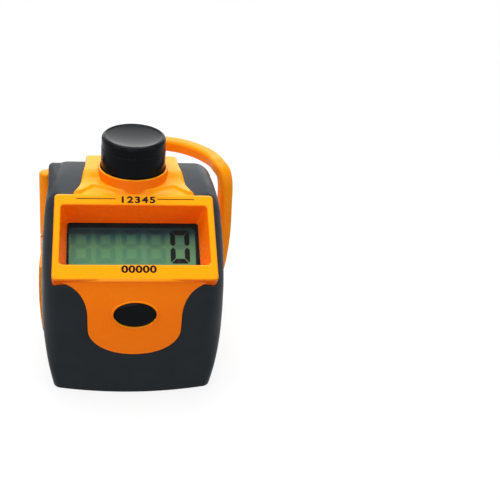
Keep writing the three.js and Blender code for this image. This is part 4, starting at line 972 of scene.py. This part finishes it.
def count_button():
    """The cap with its stem, a fine step near the top, a soft edge and a dished top."""
    radius, top, stem = BUTTON_RADIUS, BUTTON_TOP, 1.95
    profile = [(0.03, STEM_FOOT), (stem, STEM_FOOT), (stem, CAP_ROOF), (7.6, CAP_ROOF), (7.66, SKIRT),
               (radius - 0.1, SKIRT), (radius, SKIRT + 0.2)]
    profile += [(radius, 60.74), (radius - 0.05, 60.84), (radius - 0.12, 60.88), (radius - 0.12, 60.98)]
    radius -= 0.08
    edge, dish, depth = 1.04, 7.9, 0.75
    for angle in angles(0, 90, 12):
        profile.append((radius - edge + edge * math.cos(angle), top - edge + edge * math.sin(angle)))
    for k in range(1, 7):
        t = k / 6
        profile.append((lerp(radius - edge, dish, t), top - 0.12 * t * t))
    for k in range(1, 25):
        share = 1 - k / 24
        profile.append((max(dish * share, 0.03), top - 0.12 - depth * (1 - share ** 2) ** 0.8))
    return capped(lathe_rings(profile, 0, BUTTON_Y, 128), "count_button_cap")


dress(count_button(), button_black, "count_plunger", "button_plastic", "count_button", angle=50)


def count_spring():
    """The coil under the button, drawn short enough to leave the button its whole stroke."""
    wire, radius, turns, per_turn = SPRING_WIRE, SPRING_RADIUS, SPRING_TURNS, 24
    low, high = SPRING_SEAT + wire, CAP_ROOF - STROKE - PRESS_GAP - wire
    points = []
    for k in range(turns * per_turn + 1):
        angle = 2 * math.pi * k / per_turn
        z = lerp(low, high, smoothstep(k / (turns * per_turn), -0.04, 1.04))
        points.append(Vector((radius * math.cos(angle), BUTTON_Y + radius * math.sin(angle), z)))
    section = [(wire * math.cos(angle), wire * math.sin(angle)) for angle in angles(0, 324, 9)]
    return capped(sweep(points, section), "count_spring_coil")


def count_dome():
    """The rubber dome under the stem, drawn low for the same reason."""
    outline = ((0.03, 0), (3.4, 0), (3.4, 0.2), (2.7, 0.5), (1.9, 0.7), (1.9, 1), (0.03, 1))
    high = STEM_FOOT - STROKE - PRESS_GAP
    profile = [(radius, lerp(DOME_SEAT, high, share)) for radius, share in outline]
    return capped(lathe_rings(profile, 0, BUTTON_Y, 48), "count_dome_rubber")


dress(count_spring(), steel, "case", "steel", "count_spring", angle=60)
dress(count_dome(), rubber, "case", "grey_rubber", "count_dome")


def reset_button():
    half = RESET_HALF
    profile = [(1.6, -6.8), (1.6, -4.8), (half + 1.15, -4.8), (half + 1.15, -4.1), (half, -4.1), (half, 0.1)]
    for angle in angles(0, 90, 16)[1:]:
        profile.append((max(half * math.cos(angle) ** 0.8, 0.03), 0.1 + 0.75 * math.sin(angle)))
    return capped(oval_rings(profile), "reset_button_cap")


dress(reset_button(), button_black, "reset_plunger", "button_plastic", "reset_button", angle=50)


# Display

def segment_outlines(centre, width=5.5, height=10.1, base=8.6, thick=1.45, gap=0.15, cut=0.5):
    """The seven segments of one digit, mitred at the corners, as (x, s) outlines."""
    x0, x1, s0, s1 = centre - width / 2, centre + width / 2, base, base + height
    mid, half = base + height / 2, thick / 2

    def standing(edge, side, corner, up):
        inner = edge + side * thick
        return [(edge, corner + up * (cut + gap)), (edge, mid - up * (half + gap)),
                (edge + side * half, mid - up * gap), (inner, mid - up * (half + gap)),
                (inner, corner + up * (thick + gap)), (edge + side * cut / 2, corner + up * (cut / 2 + gap))]

    def lying(edge, up):
        inner = edge + up * thick
        return [(x0 + cut + gap, edge), (x1 - cut - gap, edge), (x1 - cut / 2 - gap, edge + up * cut / 2),
                (x1 - thick - gap, inner), (x0 + thick + gap, inner),
                (x0 + cut / 2 + gap, edge + up * cut / 2)]

    a, b = x0 + half + gap, x1 - half - gap
    middle = [(a, mid), (a + half, mid - half), (b - half, mid - half), (b, mid), (b - half, mid + half),
              (a + half, mid + half)]
    return {"a": lying(s1, -1), "b": standing(x1, -1, s1, -1), "c": standing(x1, -1, s0, 1),
            "d": lying(s0, 1), "e": standing(x0, 1, s0, 1), "f": standing(x0, 1, s1, -1), "g": middle}


def plates(name, outlines, low, high):
    """Thin plates that lie on the face, as one mesh."""
    made = Build()
    for outline in outlines:
        levels = [[on_face(x, s, h) for x, s in outline] for h in (low, high)]
        made.rings(levels, cap_start=True, cap_end=True)
    return made.make(name)


# Black slab behind the crystal, showing as a dark band round it, widest at the top: partly the display's own
# dark border, partly painted shade where the recess's top wall shades the display.
mask = rounded_rectangle(-19.58, 19.58, 5.18, 21.28, 0.4)
panel = face_prism(mask, -12.4, CRYSTAL - 0.04, "panel_border_and_shade")
dress(panel, border_and_shade_black, "case", "display_glass", "display_panel")
view_area = rounded_rectangle(-18.05, 17.75, 5.3, 19.35, 1.0, 8)
dress(face_prism(view_area, CRYSTAL - 0.06, CRYSTAL, "panel_crystal"), crystal, "case", "display_glass")
centres = (-14.6, -7.7, -0.4, 6.5, 13.35)
faint, dark = [], []
for place in centres:
    shapes = segment_outlines(place)
    if place == centres[-1]:
        faint.append(shapes.pop("g"))
        dark += shapes.values()
    else:
        faint += shapes.values()
dress(plates("digits_idle", faint, CRYSTAL, CRYSTAL + 0.015), ghost, "case", "display_glass")
dress(plates("digits_lit", dark, CRYSTAL, CRYSTAL + 0.03), digit_black, "case", "display_glass")


# Printed marks: plain figures and two thin rules

MARK_HEIGHT = 0.03


def printed(name, text, s, size, spacing, weight=0.10):
    """Widened figures printed on the face at height s."""
    curve = bpy.data.curves.new(name, "FONT")
    curve.body = text
    curve.size = size * MM
    curve.space_character = spacing
    curve.align_x = "CENTER"
    curve.extrude = MARK_HEIGHT * MM
    curve.offset = weight * MM
    obj = bpy.data.objects.new(name, curve)
    bpy.context.scene.collection.objects.link(obj)
    y, z = face_point(s, 0.0)
    obj.location = (0.9 * MM, y * MM, z * MM)
    obj.rotation_euler = (TILT, 0, 0)
    obj.scale = (1.3, 1, 1)
    curve.materials.append(ink)
    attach(obj, "case")
    return obj


printed("marks_count", "12345", 22.75, 2.6, 1.22)
printed("marks_reset", "00000", 2.25, 2.8, 1.06)

rule_low, rule_high = 23.74, 23.96
rules = [[(start, rule_low), (end, rule_low), (end, rule_high), (start, rule_high)]
         for start, end in ((-16.0, -5.2), (6.4, 16.6))]
dress(plates("marks_rules", rules, -0.02, MARK_HEIGHT), ink, "case", "orange_plastic")


# Finishes of the CAD parts that stay

KEPT = {
    "orange_plastic": orange, "black_plastic": black, "button_plastic": button_black, "clear_plastic": clear,
    "display_glass": crystal, "white_plastic": white_plastic, "flex_film": flex_film, "circuit_board": board,
    "black_resin": resin, "grey_rubber": rubber, "steel": steel, "contact_brass": brass,
    "lead_insulation": insulation,
}
for part in frame["record"]["subparts"]:
    kept = frame["nodes"][part["node"]]
    kept.data.materials.clear()
    kept.data.materials.append(KEPT[part["material_slot"]])


# Studio

def white_rays(tree):
    """1 for the camera, glossy and transmission rays, which see a white background, and 0 for the rest."""
    rays = tree.nodes.new("ShaderNodeLightPath")
    seen = rays.outputs["Is Camera Ray"]
    for kind in ("Is Glossy Ray", "Is Transmission Ray"):
        either = tree.nodes.new("ShaderNodeMath")
        either.operation = "MAXIMUM"
        tree.links.new(seen, either.inputs[0])
        tree.links.new(rays.outputs[kind], either.inputs[1])
        seen = either.outputs["Value"]
    return seen


def floor_material():
    """Near-white paper, lifted toward white for the rays that see it, with the object's shadow kept."""
    made = Nodes("studio_paper")
    grain = made.noise(2.0)
    rays = made.add("ShaderNodeLightPath")
    paper = made.add("ShaderNodeMixRGB")
    made.link(rays.outputs["Is Camera Ray"], paper.inputs["Fac"])
    for tone, name in ((0.42, "Color1"), (0.90, "Color2")):
        stops = [(0.3, (tone - 0.01,) * 3), (0.7, (tone + 0.01,) * 3)]
        made.link(made.ramp(grain, stops), paper.inputs[name])
    made.link(paper.outputs["Color"], made.shader.inputs["Base Color"])
    made.shader.inputs["Roughness"].default_value = 0.9
    made.shader.inputs["Specular IOR Level"].default_value = 0.0
    glow = made.add("ShaderNodeEmission")
    glow.inputs["Strength"].default_value = 1.0
    away = made.add("ShaderNodeVectorMath", operation="LENGTH")
    made.link(made.place, away.inputs[0])
    lift = made.add("ShaderNodeMapRange")
    lift.inputs["From Min"].default_value = 0.08
    lift.inputs["From Max"].default_value = 0.35
    lift.inputs["To Min"].default_value = 0.82
    lift.inputs["To Max"].default_value = 1.0
    made.link(away.outputs["Value"], lift.inputs["Value"])
    share = made.add("ShaderNodeMath", operation="MULTIPLY")
    made.link(lift.outputs["Result"], share.inputs[1])
    made.link(white_rays(made.tree), share.inputs[0])
    mix = made.add("ShaderNodeMixShader")
    made.link(share.outputs["Value"], mix.inputs["Fac"])
    made.link(made.shader.outputs["BSDF"], mix.inputs[1])
    made.link(glow.outputs["Emission"], mix.inputs[2])
    made.link(mix.outputs["Shader"], made.tree.nodes["Material Output"].inputs["Surface"])
    return made.material


def studio_floor():
    reach, drop, thickness = 1500.0, 0.05, 2.0
    outline = [(-reach, -reach), (reach, -reach), (reach, reach), (-reach, reach)]
    obj = prism_z(outline, -drop - thickness, -drop, "studio_floor")
    obj.data.materials.append(floor_material())


def studio_world():
    world = bpy.data.worlds.new("studio")
    bpy.context.scene.world = world
    world.use_nodes = True
    tree = world.node_tree
    mix = tree.nodes.new("ShaderNodeMixShader")
    tree.links.new(white_rays(tree), mix.inputs["Fac"])
    around, seen = tree.nodes["Background"], tree.nodes.new("ShaderNodeBackground")
    for socket, (node, strength) in enumerate(((around, 0.15), (seen, 1.0)), start=1):
        node.inputs["Color"].default_value = (1, 1, 1, 1)
        node.inputs["Strength"].default_value = strength
        tree.links.new(node.outputs["Background"], mix.inputs[socket])
    tree.links.new(mix.outputs["Shader"], tree.nodes["World Output"].inputs["Surface"])


def softbox(name, place, width, height, power):
    """A rectangular lamp, in metres and watts, that faces the object."""
    target = (0, 0, 0.03)
    lamp = bpy.data.lights.new(name, "AREA")
    lamp.shape = "RECTANGLE"
    lamp.size, lamp.size_y = width, height
    lamp.energy = power
    obj = bpy.data.objects.new(name, lamp)
    obj.location = place
    obj.rotation_mode = "QUATERNION"
    obj.rotation_quaternion = (Vector(target) - Vector(place)).to_track_quat("-Z", "Y")
    bpy.context.scene.collection.objects.link(obj)


def camera():
    """The photo's view, fitted with the base, the frame, the button and the loop as guides."""
    distance, elevation, azimuth = 289.8, math.radians(30.99), math.radians(-3.64)
    target = Vector((0, 0, 28))
    level = math.cos(elevation)
    back = Vector((math.sin(azimuth) * level, -math.cos(azimuth) * level, math.sin(elevation)))
    lens = bpy.data.cameras.new("camera")
    lens.sensor_width = 36.0
    lens.lens = 72.31
    lens.clip_start = 0.01
    lens.shift_x = 0.11
    lens.shift_y = 0.0408
    obj = bpy.data.objects.new("camera", lens)
    obj.location = (target + back * distance) * MM
    obj.rotation_mode = "QUATERNION"
    turn = Matrix.Rotation(-math.radians(3.59), 4, "Y") @ Matrix.Rotation(math.radians(2.0), 4, "Z")
    obj.rotation_quaternion = (-back).to_track_quat("-Z", "Y") @ turn.to_quaternion()
    bpy.context.scene.collection.objects.link(obj)
    bpy.context.scene.camera = obj


studio_floor()
studio_world()
softbox("overhead", (-0.04, 0.15, 0.58), 0.50, 0.40, 4.4)
softbox("front", (-0.12, -0.58, 0.42), 0.40, 0.30, 1.75)
softbox("behind", (0.05, 0.62, 0.30), 0.80, 0.50, 2.5)
softbox("left", (-0.58, -0.28, 0.20), 0.30, 0.30, 0.8)
softbox("right", (0.58, -0.28, 0.20), 0.30, 0.30, 0.8)
camera()
bpy.context.scene.view_settings.view_transform = "Standard"
